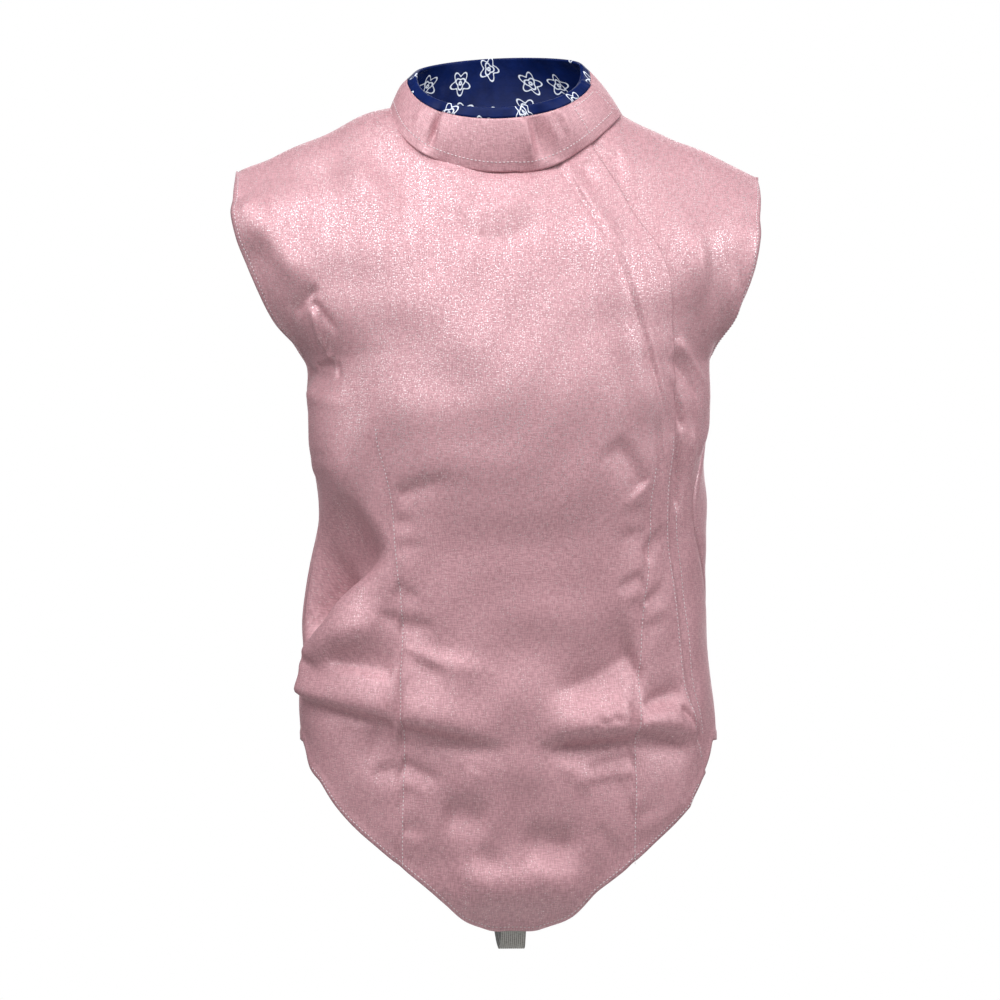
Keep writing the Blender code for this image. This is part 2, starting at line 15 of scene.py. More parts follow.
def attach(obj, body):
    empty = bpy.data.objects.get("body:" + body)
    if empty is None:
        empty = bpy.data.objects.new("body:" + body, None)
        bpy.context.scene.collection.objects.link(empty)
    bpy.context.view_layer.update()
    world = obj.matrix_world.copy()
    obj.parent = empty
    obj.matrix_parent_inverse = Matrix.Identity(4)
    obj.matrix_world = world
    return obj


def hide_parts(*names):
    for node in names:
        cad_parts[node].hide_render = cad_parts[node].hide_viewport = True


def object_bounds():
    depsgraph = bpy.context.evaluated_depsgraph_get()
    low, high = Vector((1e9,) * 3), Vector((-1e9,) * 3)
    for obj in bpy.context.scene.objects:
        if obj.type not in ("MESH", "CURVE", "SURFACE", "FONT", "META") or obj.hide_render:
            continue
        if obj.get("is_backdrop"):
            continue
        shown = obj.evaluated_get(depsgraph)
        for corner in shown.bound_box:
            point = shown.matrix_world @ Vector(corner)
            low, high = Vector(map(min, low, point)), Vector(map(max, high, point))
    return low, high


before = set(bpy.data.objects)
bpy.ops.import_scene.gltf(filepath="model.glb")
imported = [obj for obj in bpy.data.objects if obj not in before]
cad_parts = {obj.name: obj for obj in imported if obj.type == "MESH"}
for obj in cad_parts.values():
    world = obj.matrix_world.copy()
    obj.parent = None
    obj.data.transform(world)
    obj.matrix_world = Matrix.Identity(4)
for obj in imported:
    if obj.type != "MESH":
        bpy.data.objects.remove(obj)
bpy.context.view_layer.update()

# The front: one piece of conductive cloth woven with fine metal threads, from the wearer's right
# side seam and armhole to the free edge of the closing flap, shaped by two long stitched darts. It
# is cut from a body surface made of level sections, which the other panels share.
CLOTH = 0.0015
SEAM_GAP = 0.0003


def table(names, rows):
    """The columns of a table in metres, by name, from its rows in millimetres."""
    return dict(zip(names.split(), np.array(rows).T / 1000))


# Level sections: half widths on the wearer's right and left, and how far the cloth reaches
# forward and back of the side seams.
SECTIONS = table("height right left front back", (
    (-670, 166, 168, 62, 100),
    (-640, 166, 168, 80, 100),
    (-618, 166, 168, 94, 100),
    (-596, 166, 168, 99, 100),
    (-550, 166, 168, 105, 100),
    (-506, 164, 168, 109, 100),
    (-474, 165, 166, 110, 97),
    (-442, 162, 162, 108, 91),
    (-410, 163, 161, 107, 85),
    (-362, 156, 160, 108, 79),
    (-330, 150, 160, 111, 79),
    (-282, 154, 160, 119, 85),
    (-234, 159, 161, 125, 93),
    (-202, 161, 162, 124, 97),
    (-170, 188, 172, 119, 100),
    (-138, 206, 184, 111, 101),
    (-106, 216, 194, 101, 100),
    (-74, 219, 201, 91, 98),
    (-54, 216, 203, 86, 97),
    (0, 216, 203, 78, 94),
    (30, 216, 203, 74, 90),
))
ROUNDNESS = {"front": 2.3, "back": 2.4}

# The line along the top of the shoulders, from the middle of the neck out to each shoulder's tip.
SHOULDER = table("across right left", (
    (0, 14, 14),
    (60, 7, 6),
    (92, -1, -4),
    (120, -10, -18),
    (150, -24, -32),
    (180, -37, -45),
    (214, -52, -60),
))
SHOULDER_ROLL = {"front": 0.130, "back": 0.105}
TIP_ROLL = 0.022
TIP_ACROSS = 0.214

ARMHOLE_TOP = {"right": -0.052, "left": -0.0575}
ARMHOLE_FOOT = {"right": -0.198, "left": -0.202}
ARMHOLE_REACH = {"front": 0.062, "back": 0.058}
ARMHOLE_INSET = {"front": 0.0, "back": 0.012}

NECK_HALF = 0.092
NECK_DROP = {"front": 0.0665, "back": 0.0110}
NECK_CURVE = {"front right": 0.52, "front left": 1.12, "back": 1.0}

# The hem: level at the back, and cut down to a blunt point at the front.
FRONT_HEM = table("across height", (
    (0, -653.5),
    (18, -653),
    (36, -643.5),
    (70, -617),
    (107, -586),
    (134, -560.5),
    (150, -536.5),
    (160, -518),
    (163, -505),
))
HEM_SIDE = 0.163
BACK_HEM_SIDE = -0.505
BACK_HEM_DROP = 0.010

# The free edge of the flap that covers the fastening, on the wearer's left.
CLOSURE = table("height across", (
    (-530, 155),
    (-505, 150),
    (-475, 142),
    (-447, 136),
    (-421, 133),
    (-374, 127),
    (-323, 121),
    (-267, 124),
    (-204, 124),
    (-158, 123),
    (-139, 121),
    (-112, 112),
    (-86, 94),
    (-64, 82),
    (-31, 62),
    (30, 28),
))

# The two long stitched darts in the front. Above their tops the rows only guide the mesh.
DARTS = table("height right left", (
    (-670, -91, 93),
    (-522, -91, 93),
    (-458, -91, 96),
    (-394, -91, 98),
    (-346, -94, 103),
    (-314, -96, 102),
    (-262, -107, 106),
    (-200, -108, 96),
    (-120, -103, 72),
    (-50, -95, 44),
    (-4, -92, 28),
    (30, -92, 20),
))
DART_TOP = {"right": -0.255, "left": -0.286}
DART_DEPTH = 0.0016
DART_WIDTH = 0.0045
DART_RUN_OUT = 0.040

# The left side seam is pulled forward at the waist.
SEAM_PULL = 0.054
SEAM_PULL_HEIGHT = -0.318
SEAM_PULL_SPREAD = 0.062
SEAM_PULL_START = 0.030

# Folds die away over this width at the side seams, and over this height above their tops.
SEAM_FADE = 0.022
SEAM_FADE_TOP = 0.020

# Folds: their two ends, on the front or back as seen squarely from outside, how far the middle
# bows up, the soft widths above and below and the height (less than nothing is a trough), all in
# millimetres, and the shares of the length over which the ends fade, in hundredths.
FOLD_UNITS = (1000,) * 8 + (100,) * 2
FRONT_FOLDS = (
    (-165, -412, -98, -342, 4, 40, 14, -15, 12, 35),
    (-166, -442, -94, -402, -3, 17, 12, 8.2, 15, 30),
    (-168, -463, -90, -479, 2, 18, 8, 8.5, 10, 15),
    (-94, -480, 0, -499, 1, 18, 8, 7.2, 10, 60),
    (-150, -492, -10, -514, 0, 6, 20, -3.5, 25, 50),
    (10, -494, 94, -489, 2, 20, 8, 7.8, 40, 15),
    (92, -487, 154, -498, 2, 16, 8, 6.6, 15, 30),
    (12, -510, 148, -511, 2, 6, 18, -3.5, 30, 30),
    (18, -464, 95, -421, -2, 18, 24, -6.2, 50, 15),
    (98, -471, 140, -460, 1, 10, 10, -4, 20, 40),
    (62, -60, 118, -292, -12, 16, 14, 4.6, 20, 50),
    (-140, -40, -84, -112, 4, 16, 16, 5.2, 30, 60),
    (-212, -74, -158, -152, 2, 13, 13, 6, 20, 30),
    (194, -84, 158, -190, 2, 14, 14, 5.2, 20, 35),
    (134, -74, 140, -176, 2, 14, 14, 4, 40, 50),
    (-50, -528, 50, -532, 4, 16, 16, 3.4, 50, 50),
    (-90, -612, 70, -614, -6, 16, 16, 3.4, 50, 50),
)
BACK_FOLDS = (
    (-120, -70, -30, -160, -8, 18, 18, 4, 40, 60),
    (120, -76, 40, -170, 8, 18, 18, 4.2, 40, 60),
    (-190, -110, -140, -190, 3, 14, 14, 4.6, 20, 40),
    (190, -106, 142, -186, -3, 14, 14, 4.6, 20, 40),
    (-150, -300, -50, -350, 6, 18, 18, 5.2, 20, 60),
    (150, -310, 60, -356, 4, 18, 18, 5.4, 20, 60),
    (-150, -392, -10, -404, -6, 18, 14, 5.6, 20, 50),
    (150, -400, 30, -418, -5, 18, 14, 5.6, 20, 50),
    (-110, -446, 110, -452, 6, 18, 16, 5, 40, 40),
)

# Creases: the same columns as the folds, for the narrow ones, the puckers along the darts and
# those that the armholes and the flap draw up.
FRONT_CREASES = (
    (-172, -412, -96, -340, 0, 46, 14, -21, 4, 25),
    (-184, -420, -138, -386, 0, 34, 12, -11, 5, 40),
    (-162, -352, -112, -278, 2, 22, 16, 4, 15, 30),
    (-156, -290, 134, -290, 0, 88, 150, 11, 22, 22),
    (-218, -74, -200, -124, 0, 20, 12, 6, 30, 40),
    (140, -172, 178, -150, 0, 30, 30, 4.5, 40, 25),
    (20, -470, 96, -432, -2, 9, 26, -4.4, 35, 8),
    (-160, -262, -92, -274, 2, 55, 24, 6.5, 25, 50),
    (98, -266, 160, -256, 2, 55, 24, 6, 50, 25),
    (-68, -86, 30, -86, -22, 9, 8, -2.6, 30, 30),
    (-64, -68, 24, -68, -16, 8, 8, 2, 30, 30),
    (-56, -616, 66, -609, -4, 26, 36, 7.2, 20, 20),
    (-46, -656, 46, -654, 0, 26, 20, -5.5, 25, 25),
    (-168, -469, -92, -490, 2, 3.5, 10, -5.8, 10, 8),
    (-94, -490, -4, -508, -1, 3.5, 10, -5.4, 6, 40),
    (10, -505, 95, -500, -3, 3, 10, -4.4, 35, 8),
    (92, -497, 144, -509, 2, 3.5, 9, -5.2, 8, 25),
    (129, -474, 152, -510, 3, 3.5, 4, -4.4, 20, 25),
    (98, -474, 136, -464, 1, 4, 10.5, -4, 10, 35),
    (62, -484, 72, -489.5, 0, 2.5, 3, -2.2, 20, 30),
    (72, -483, 84, -488, 1, 2.5, 3, -2.2, 20, 30),
    (-92, -306, -40, -292.5, 3, 4, 10.5, -3.6, 10, 60),
    (-92, -329, -74, -327, 1, 4, 10.5, -1.8, 10, 60),
    (-92, -349, -66, -348, 1, 4, 10.5, -1.8, 10, 60),
    (-92, -379, -74, -393, 1, 4, 10.5, -2.2, 10, 50),
    (-92, -407, -60, -412, 0, 4, 10.5, -3.6, 8, 50),
    (-92, -405, -108, -404, 1, 4, 10.5, -3, 8, 50),
    (-90, -432, -50, -456, 2, 4, 10.5, -2.8, 10, 45),
    (-92, -436, -10, -452, 1, 10, 40, 5.8, 8, 50),
    (-146, -436, -94, -448, 0, 17, 6, -5.2, 20, 10),
    (-166, -434, -148, -448, 1, 6, 5, -3.4, 10, 40),
    (-92, -518.5, -56, -534, 1, 4, 10.5, -4, 8, 45),
    (-92, -522.5, -118, -531, 2, 4, 10.5, -2.8, 10, 50),
    (-92, -542, -72, -546, 1, 4, 10.5, -1.6, 10, 60),
    (-108, -490, -118, -530, 2, 3, 4.5, -2.2, 20, 50),
    (-122, -486, -136, -540, 3, 6, 7, 1.8, 20, 60),
    (-90, -570, -66, -574, 1, 8, 6, -2.4, 10, 50),
    (-62, -556, -18, -566, 2, 12, 18, -7, 30, 30),
    (0, -578, 52, -586, 2, 12, 18, -6.5, 30, 30),
    (-6, -508, -2, -610, 2, 10, 10, -2.2, 30, 40),
    (-30, -520, -40, -550, 3, 6, 8, 1.8, 30, 50),
    (30, -515, 62, -550, 3, 8, 6, 2.2, 30, 50),
    (52, -526, 96, -515, 2, 4, 10.5, -2.4, 30, 10),
    (40, -542, 96, -533, 2, 4, 10.5, -2.2, 40, 10),
    (98, -572, 142, -542, 2, 36, 12, 5.5, 15, 20),
    (96, -556, 118, -565, 2, 8, 6, -2.2, 20, 40),
    (60, -565, 82, -600, 2, 6, 8, -2, 30, 40),
    (-40, -585, -10, -605, 2, 8, 8, -2.2, 40, 40),
    (6, -596, 30, -616, 2, 7, 7, 2, 40, 40),
    (-60, -608, -20, -624, 1, 6, 6, -2, 40, 40),
    (70, -262, 97, -302, 2, 7, 16, -4, 25, 10),
    (98, -337, 72, -344, 1, 4, 10.5, -1.8, 10, 60),
    (98, -318, 76, -324, 1, 4, 10.5, -1.4, 10, 60),
    (97, -371, 74, -385, 1, 4, 10.5, -2.8, 10, 50),
    (97, -392, 84, -401, 1, 4, 10.5, -1.6, 10, 50),
    (99, -358, 120, -331, 2, 4, 10.5, -2.8, 10, 50),
    (99, -395, 120, -380, 2, 4, 10.5, -2.6, 10, 50),
    (99, -415, 126, -406, 2, 4, 10.5, -1.8, 10, 50),
    (108, -245, 112, -302, 1, 3.5, 3.5, -2, 30, 30),
    (118, -215, 131, -260, 2, 4, 4, -2.8, 30, 20),
    (126, -256, 128, -326, 2, 5, 3.5, -3.4, 30, 20),
    (137, -250, 140, -310, 2, 5, 5, 2.2, 30, 40),
    (-160, -256, -153, -290, 1, 4, 4, -3, 20, 30),
    (-158, -292, -112, -284, 3, 7, 8, 1.4, 15, 60),
    (-163, -210, -130, -218, 1, 4, 6, -3, 10, 60),
    (-163, -226, -116, -240, 1, 5, 6, 2, 10, 60),
    (-161, -156, -136, -184, 1, 3.5, 4, -4.2, 15, 40),
    (-157, -160, -143, -196, -1, 3.5, 4, 4, 15, 30),
    (-154, -146, -172, -170, 2, 5, 4, -4.8, 25, 25),
    (-152, -209, -136, -207, 1, 3, 3, -3.2, 20, 20),
    (-146, -196, -138, -200, 1, 4, 4, 2.6, 30, 30),
    (-136, -203, -134, -222, 1, 3, 3, -2.2, 20, 40),
    (-30, -72, -32, -90, 1, 3, 3, -2.2, 20, 60),
    (18, -72, 16, -86, 1, 3, 3, -1.8, 20, 60),
    (36, -42, 90, -142, 2.5, 7, 3, 2.2, 10, 4),
    (33, -44, 87, -143, 2.5, 2.2, 2.5, -1.4, 10, 4),
    (87, -138, 120, -262, 2, 7, 3, 2.2, 4, 40),
    (84, -138, 117, -262, 2, 2.2, 2.5, -1.4, 4, 40),
    (54, -44, 62, -70, 2, 5, 5, -2, 20, 40),
    (80, -34, 86, -66, 1, 4, 6, -2.4, 20, 50),
    (139, -85, 136, -190, 2, 10, 10, 2, 40, 40),
    (152, -90, 148, -186, 2, 7, 8, -1.4, 40, 40),
    (190, -90, 161, -192, 2, 6, 9, 2.8, 40, 30),
    (172, -100, 156, -190, 2, 7, 8, -1.4, 40, 40),
    (124, -186, 150, -226, 3, 5, 6, 2.6, 20, 40),
    (119, -198, 148, -246, 3, 5, 5, -2.6, 20, 40),
)
BACK_CREASES = (
    (-150, -296, -86, -318, 3, 6, 8, 2, 12, 60),
    (-152, -330, -70, -346, 3, 7, 7, -2.2, 12, 60),
    (-152, -358, -94, -366, 2, 6, 6, 1.8, 12, 60),
    (152, -300, 78, -330, 3, 7, 8, 2.2, 12, 60),
    (150, -336, 90, -352, 2, 6, 6, -1.9, 12, 60),
    (152, -372, 64, -380, 3, 7, 7, 2, 12, 60),
    (-70, -362, 40, -366, 4, 10, 10, 2, 50, 50),
    (-40, -386, 80, -392, -3, 9, 10, -2, 50, 50),
    (-148, -420, -40, -430, 3, 8, 8, -1.8, 15, 50),
    (148, -432, 60, -438, 2, 7, 8, 1.8, 15, 50),
    (-150, -470, -80, -476, 2, 6, 8, 1.4, 20, 60),
    (150, -474, 96, -482, 2, 6, 6, -1.4, 20, 60),
    (-164, -176, -150, -212, 1, 4, 5, -2.4, 20, 40),
    (-172, -164, -152, -196, 2, 4, 4, 2.2, 20, 40),
    (166, -172, 148, -214, 1, 5, 5, 2.2, 20, 40),
    (176, -160, 158, -194, 2, 4, 4, -2, 20, 40),
    (-188, -106, -150, -200, -2, 6, 6, 1.8, 30, 50),
    (186, -110, 152, -204, -2, 6, 6, 1.8, 30, 50),
    (-60, -66, -34, -112, 2, 6, 6, 1.4, 30, 60),
    (64, -68, 30, -118, -2, 6, 6, 1.4, 30, 60),
    (10, -52, 8, -74, 1, 4, 4, 1.2, 30, 60),
    (-140, -236, -90, -262, 3, 8, 8, 1.6, 30, 60),
    (142, -240, 98, -270, 3, 8, 8, 1.6, 30, 60),
)
SLACK_WAVES = ((0.071, 0.4, 0.0006), (0.047, 2.1, 0.0004), (0.093, 1.2, 0.0008))
SEAM_DIP = 0.0013
NECK_DIP = 0.0026
NECK_DIP_REACH = 0.006
SEAM_DIP_WIDTH = 0.0045
TURNED_RISE = 0.0007
TURNED_WIDTH = 0.009
TURNED_STEP = 0.0025
SEAM_START = 0.012

# Rows of a panel, as shares of the way down it: closer over the shoulders and at the armhole's foot.
ROW_SHARES = (0.000, 0.006, 0.022, 0.046, 0.078, 0.114, 0.152, 0.190, 0.228, 0.262, 0.288, 0.306)
ROW_SHARES += (0.317, 0.3226) + tuple(0.3226 + 0.6774 * k / 22 for k in range(1, 23))
EVEN_BELOW = 0.4
ROW_COUNT = 230


def through(at, places, values):
    """The smooth curve through a table's rows, read at any places."""
    slopes = np.gradient(values, places)
    at = np.clip(at, places[0], places[-1])
    i = np.clip(np.searchsorted(places, at) - 1, 0, len(places) - 2)
    span = places[i + 1] - places[i]
    t = (at - places[i]) / span
    return (
        values[i] * (1 + 2 * t) * (1 - t) ** 2
        + slopes[i] * span * t * (1 - t) ** 2
        + values[i + 1] * t * t * (3 - 2 * t)
        - slopes[i + 1] * span * t * t * (1 - t)
    )


def ease(t):
    t = np.clip(t, 0, 1)
    return t * t * (3 - 2 * t)


def section(name, z):
    return through(z, SECTIONS["height"], SECTIONS[name])


def shoulder_line(x):
    right, left = (through(np.abs(x), SHOULDER["across"], SHOULDER[k]) for k in ("right", "left"))
    return np.where(np.asarray(x) > 0, left, right)


def armhole_foot(hand):
    return np.where(np.asarray(hand) > 0, ARMHOLE_FOOT["left"], ARMHOLE_FOOT["right"])


def oval(side, hand, z):
    """The level section: its reach, the half width of its full oval and the angle of its edge."""
    top = np.where(hand > 0, ARMHOLE_TOP["left"], ARMHOLE_TOP["right"])
    bottom = armhole_foot(hand)
    level = np.minimum(z, top)
    half = np.where(hand > 0, section("left", level), section("right", level))
    reach = section(side, z)
    middle = (top + bottom) / 2
    span = (top - bottom) / 2
    deep = np.clip(1 - ((level - middle) / span) ** 2, 0, 1)
    cut = ARMHOLE_REACH[side] * np.sqrt(deep)
    half = half - ARMHOLE_INSET[side] * deep
    power = ROUNDNESS[side]
    edge = (1 - (cut / reach) ** power) ** (1 / power)
    return reach, half / edge, np.arcsin(edge)


def edge_arc(side, hand, z):
    """The arc length across from the centre line to the side seam, or to the armhole's edge."""
    reach, full, edge = oval(side, hand, z)
    return full * np.sin(edge) + reach * (edge - np.sin(edge))


def arc_at(side, x, z):
    """The arc length across to the place seen at x from straight in front, or from behind."""
    reach, full, _ = oval(side, np.sign(x) + 0.5, z)
    angle = np.arcsin(np.clip(np.abs(x) / full, 0, 1))
    return np.sign(x) * (full * np.sin(angle) + reach * (angle - np.sin(angle)))


def flat_section(side, arc, hand, z):
    """x and y at an arc length on the level section, before the shoulders are rounded."""
    reach, full, _ = oval(side, hand, z)
    angle = np.clip(arc / (0.5 * (full + reach)), 0, 1.5)
    for _ in range(8):
        error = full * np.sin(angle) + reach * (angle - np.sin(angle)) - arc
        slope = full * np.cos(angle) + reach * (1 - np.cos(angle))
        angle = np.clip(angle - error / slope, 0, math.pi / 2)
    power = ROUNDNESS[side]
    depth = reach * np.clip(1 - np.sin(angle) ** power, 0, 1) ** (1 / power)
    return hand * full * np.sin(angle), (-depth if side == "front" else depth)


def hand_of(across):
    return np.where(np.asarray(across) >= 0, 1.0, -1.0)


def across_to_x(side, across, z):
    return flat_section(side, np.abs(across), hand_of(across), z)[0]


def on_body(side, across, z):
    """A point of the body surface. An arc past the side seam goes on round to the other side."""
    across, z = np.broadcast_arrays(np.asarray(across, float), np.asarray(z, float))
    hand = hand_of(across)
    arc = np.abs(across)
    limit = edge_arc(side, hand, z)
    other = "back" if side == "front" else "front"
    x, y = flat_section(side, np.minimum(arc, limit), hand, z)
    beyond = (arc > limit) & (z < armhole_foot(hand))
    round_it = edge_arc(other, hand, z) - (arc - limit)
    far_x, far_y = flat_section(other, np.maximum(round_it, 0), hand, z)
    x, y = np.where(beyond, far_x, x), np.where(beyond, far_y, y)
    roll = SHOULDER_ROLL[side]
    roll = roll + (TIP_ROLL - roll) * np.minimum(np.abs(x) / TIP_ACROSS, 1) ** 3
    below = np.clip((shoulder_line(x) - z) / roll, 0, 1)
    return np.stack([x, y * np.sqrt(1 - (1 - below) ** 2), z + 0 * x], axis=-1)


def unit(vectors):
    return vectors / np.linalg.norm(vectors, axis=-1, keepdims=True)


def outward(side, across, z):
    """The direction square to the body surface, outwards."""
    step = 0.0005
    along = on_body(side, across + step, z) - on_body(side, across - step, z)
    up = on_body(side, across, z + step) - on_body(side, across, z - step)
    return unit(np.cross(along, up) * (1 if side == "front" else -1))


def seam_pull(hand, z):
    pull = SEAM_PULL * np.exp(-(((z - SEAM_PULL_HEIGHT) / SEAM_PULL_SPREAD) ** 2))
    return np.where(np.asarray(hand) > 0, pull * ease((armhole_foot(hand) - z) / SEAM_PULL_START), 0.0)


def off_seam(side, across, z):
    """Nothing at the side seam and whole inside it, and whole at the free edge of the armhole."""
    hand = hand_of(across)
    forward = -1 if side == "front" else 1
    inside = edge_arc(side, hand, z) + forward * seam_pull(hand, z) - np.abs(across)
    free = 1 - ease((armhole_foot(hand) + SEAM_FADE_TOP - z) / SEAM_FADE_TOP)
    return np.maximum(ease(inside / SEAM_FADE), free)


def pushed_out(rows, side, across, z):
    """How far the rows of folds move the cloth out from the body surface."""
    moved = np.zeros(np.shape(across))
    for row in np.array(rows) / FOLD_UNITS:
        x0, z0, x1, z1, bow, above, below, rise, fade0, fade1 = row
        a0, a1 = float(arc_at(side, x0, z0)), float(arc_at(side, x1, z1))
        if a1 < a0:
            a0, z0, a1, z1, fade0, fade1 = a1, z1, a0, z0, fade1, fade0
        length = math.hypot(a1 - a0, z1 - z0)
        run, climb = (a1 - a0) / length, (z1 - z0) / length
        t = ((across - a0) * run + (z - z0) * climb) / length
        off = (z - z0) * run - (across - a0) * climb - bow * 4 * t * (1 - t)
        width = np.where(off > 0, above, below)
        moved += rise * ease(t / fade0) * ease((1 - t) / fade1) * np.exp(-((off / width) ** 2))
    return moved * off_seam(side, across, z)


def folds(side, across, z):
    return pushed_out(FRONT_FOLDS if side == "front" else BACK_FOLDS, side, across, z)


def creases(side, across, z):
    return pushed_out(FRONT_CREASES if side == "front" else BACK_CREASES, side, across, z)


def closure(z):
    """The arc length across to the free edge of the flap."""
    return arc_at("front", through(z, CLOSURE["height"], CLOSURE["across"]), z)


def dart(which, z):
    return arc_at("front", through(z, DARTS["height"], DARTS[which]), z)


def dart_grooves(across, z):
    moved = np.zeros(np.shape(across))
    for which in ("right", "left"):
        depth = DART_DEPTH * ease((DART_TOP[which] - z) / DART_RUN_OUT)
        off = (across - dart(which, z)) / DART_WIDTH
        moved -= depth * np.exp(-(off**2))
    return moved


def neckline(side, x):
    share = np.clip(1 - (np.asarray(x) / NECK_HALF) ** 2, 0, 1)
    curve = NECK_CURVE["back"]
    if side == "front":
        curve = np.where(np.asarray(x) > 0, NECK_CURVE["front left"], NECK_CURVE["front right"])
    return shoulder_line(x) - NECK_DROP[side] * share**curve


def top_line(side, x):
    return np.where(np.abs(x) < NECK_HALF, neckline(side, x), shoulder_line(x))


def hem_line(side, x):
    if side == "back":
        return BACK_HEM_SIDE - BACK_HEM_DROP * (1 - np.clip(x / HEM_SIDE, -1, 1) ** 2)
    return through(np.abs(x), FRONT_HEM["across"], FRONT_HEM["height"])


def side_guide(side, hand):
    """The side edge of a front or back panel, at the seam."""
    forward = -1 if side == "front" else 1

    def guide(z):
        return hand * (edge_arc(side, hand, z) + forward * seam_pull(hand, z))

    return guide


def corner_guide(side, hand):
    """A line down from where the neck and the shoulder seam meet."""
    return lambda z: arc_at(side, np.full(np.shape(z), hand * NECK_HALF), z)


def slack(side, across, z):
    """Slow uneven swells, so that no stretch of cloth is perfectly even."""
    moved = 0 * z
    for length, turned, rise in SLACK_WAVES:
        along = across * math.cos(turned) + z * math.sin(turned)
        sideways = across * math.sin(turned) - z * math.cos(turned)
        phase = 2 * math.pi * along / length + 2.3 * np.sin(sideways / (0.6 * length))
        moved = moved + rise * np.sin(phase)
    return moved * off_seam(side, across, z)


def edge_finish(side, across, z):
    """Turned edges are thicker than the cloth, and seams sink into it."""
    left_edge, right_edge = side_guide(side, 1.0)(z), -side_guide(side, -1.0)(z)
    inside = np.where(across > 0, left_edge, right_edge) - np.abs(across)
    seamed = ease((armhole_foot(hand_of(across)) - z) / SEAM_START)
    x = across_to_x(side, across, z)
    above_hem = z - hem_line(side, x)
    dip = -SEAM_DIP * seamed * np.exp(-((inside / SEAM_DIP_WIDTH) ** 2))
    under_collar = np.exp(-(((top_line(side, x) - z) / NECK_DIP_REACH) ** 2))
    if side == "front":
        dip = dip - NECK_DIP * under_collar * ease((NECK_HALF - np.abs(x)) / SEAM_START)
    turned = (1 - seamed) * ease((TURNED_WIDTH - inside) / TURNED_STEP)
    turned = np.maximum(turned, ease((TURNED_WIDTH - above_hem) / TURNED_STEP))
    return dip + TURNED_RISE * turned


def panel_lifts(side):
    return tuple(partial(lift, side) for lift in (folds, creases, edge_finish, slack))


def panel_points(side, guides, counts, lifts):
    """A panel's rows and columns of points, and each one's arc length across and height."""

    def across_at(share, z):
        lines = np.stack([guide(z) for guide in guides])
        k = np.clip(share.astype(int), 0, len(guides) - 2)
        near = np.take_along_axis(lines, k[None], 0)[0]
        far = np.take_along_axis(lines, k[None] + 1, 0)[0]
        return near + (far - near) * (share - k)

    def meet(share, line, low, high):
        low, high = np.full(share.shape, low), np.full(share.shape, high)
        for _ in range(36):
            z = (low + high) / 2
            over = z > line(side, across_to_x(side, across_at(share, z), z))
            low, high = np.where(over, low, z), np.where(over, z, high)
        return (low + high) / 2

    steps = [np.arange(count) / count for count, _ in counts]
    even = np.concatenate([k + step for k, step in enumerate(steps)] + [[len(counts)]])
    crowded = [
        k + (step**power if power > 0 else 1 - (1 - step) ** -power)
        for (k, step), (_, power) in zip(enumerate(steps), counts)
    ]
    crowded = np.concatenate(crowded + [[len(counts)]])
    top = meet(crowded, top_line, -0.12, 0.03)
    foot = meet(even, hem_line, -0.67, -0.45)
    row = np.linspace(0, len(ROW_SHARES) - 1, ROW_COUNT)
    down = np.interp(row, np.arange(len(ROW_SHARES)), ROW_SHARES)[:, None]
    z = top + (foot - top) * down
    share = even + (crowded - even) * (1 - ease(down / EVEN_BELOW))
    across = across_at(share, z)
    base = on_body(side, across, z)
    out = outward(side, across, z)
    shoulder = np.abs(base[0, :, 0]) >= NECK_HALF - SEAM_GAP
    out[0, shoulder, 1] = 0
    out = unit(out)
    points = base + out * sum(lift(across, z) for lift in lifts)[..., None]
    return points, np.stack([across, z], axis=-1)


def put_in_scene(name, bm, materials):
    """Turns the mesh in the making into a smooth object of the scene with its materials."""
    mesh = bpy.data.meshes.new(name)
    bm.to_mesh(mesh)
    bm.free()
    for stuff in materials:
        mesh.materials.append(stuff)
    mesh.shade_smooth()
    piece = bpy.data.objects.new(name, mesh)
    bpy.context.scene.collection.objects.link(piece)
    return piece


def from_the_middle(place):
    return (place.x, place.y, 0)


def cloth_piece(name, points, weave, materials, wall, outwards=from_the_middle):
    """A flat grid, moved row by row to the points, with the weave's own lengths as its UV map. It
    has a wall on its inner side, whose inner face takes the last of the materials."""
    rows, columns = points.shape[:2]
    bm = bmesh.new()
    bmesh.ops.create_grid(bm, x_segments=columns - 1, y_segments=rows - 1, size=1)
    for vert, place in zip(list(bm.verts), points.reshape(-1, 3)):
        vert.co = place
    uv = bm.loops.layers.uv.new("weave")
    flat = weave.reshape(-1, 2)
    for face in bm.faces:
        for loop in face.loops:
            loop[uv].uv = flat[loop.vert.index]
    bm.normal_update()
    bm.faces.ensure_lookup_table()
    middle = bm.faces[len(bm.faces) // 2]
    if middle.normal.dot(Vector(outwards(middle.calc_center_median()))) < 0:
        bmesh.ops.reverse_faces(bm, faces=bm.faces)
    piece = put_in_scene(name, bm, materials)
    solid = piece.modifiers.new("wall", "SOLIDIFY")
    solid.thickness = wall
    solid.offset = -1
    solid.material_offset = len(materials) - 1
    return piece


def wire(tree, kind, inputs=(), **settings):
    """Adds a node, with its settings and with each input either linked or set."""
    node = tree.nodes.new(kind)
    for name, value in settings.items():
        setattr(node, name, value)
    for key, value in dict(inputs).items():
        if isinstance(value, bpy.types.NodeSocket):
            tree.links.new(value, node.inputs[key])
        else:
            node.inputs[key].default_value = value
    return node


def sums(tree, operation, *values):
    return wire(tree, "ShaderNodeMath", dict(enumerate(values)), operation=operation).outputs[0]


def added(tree, base, value, times):
    return sums(tree, "ADD", base, sums(tree, "MULTIPLY", value, times))


def mixed(tree, factor, low, high):
    """Goes from one colour to the other as the factor goes from 0 to 1."""
    inputs = {"Factor": factor, "A": low, "B": high}
    return wire(tree, "ShaderNodeMix", inputs, data_type="RGBA").outputs["Result"]


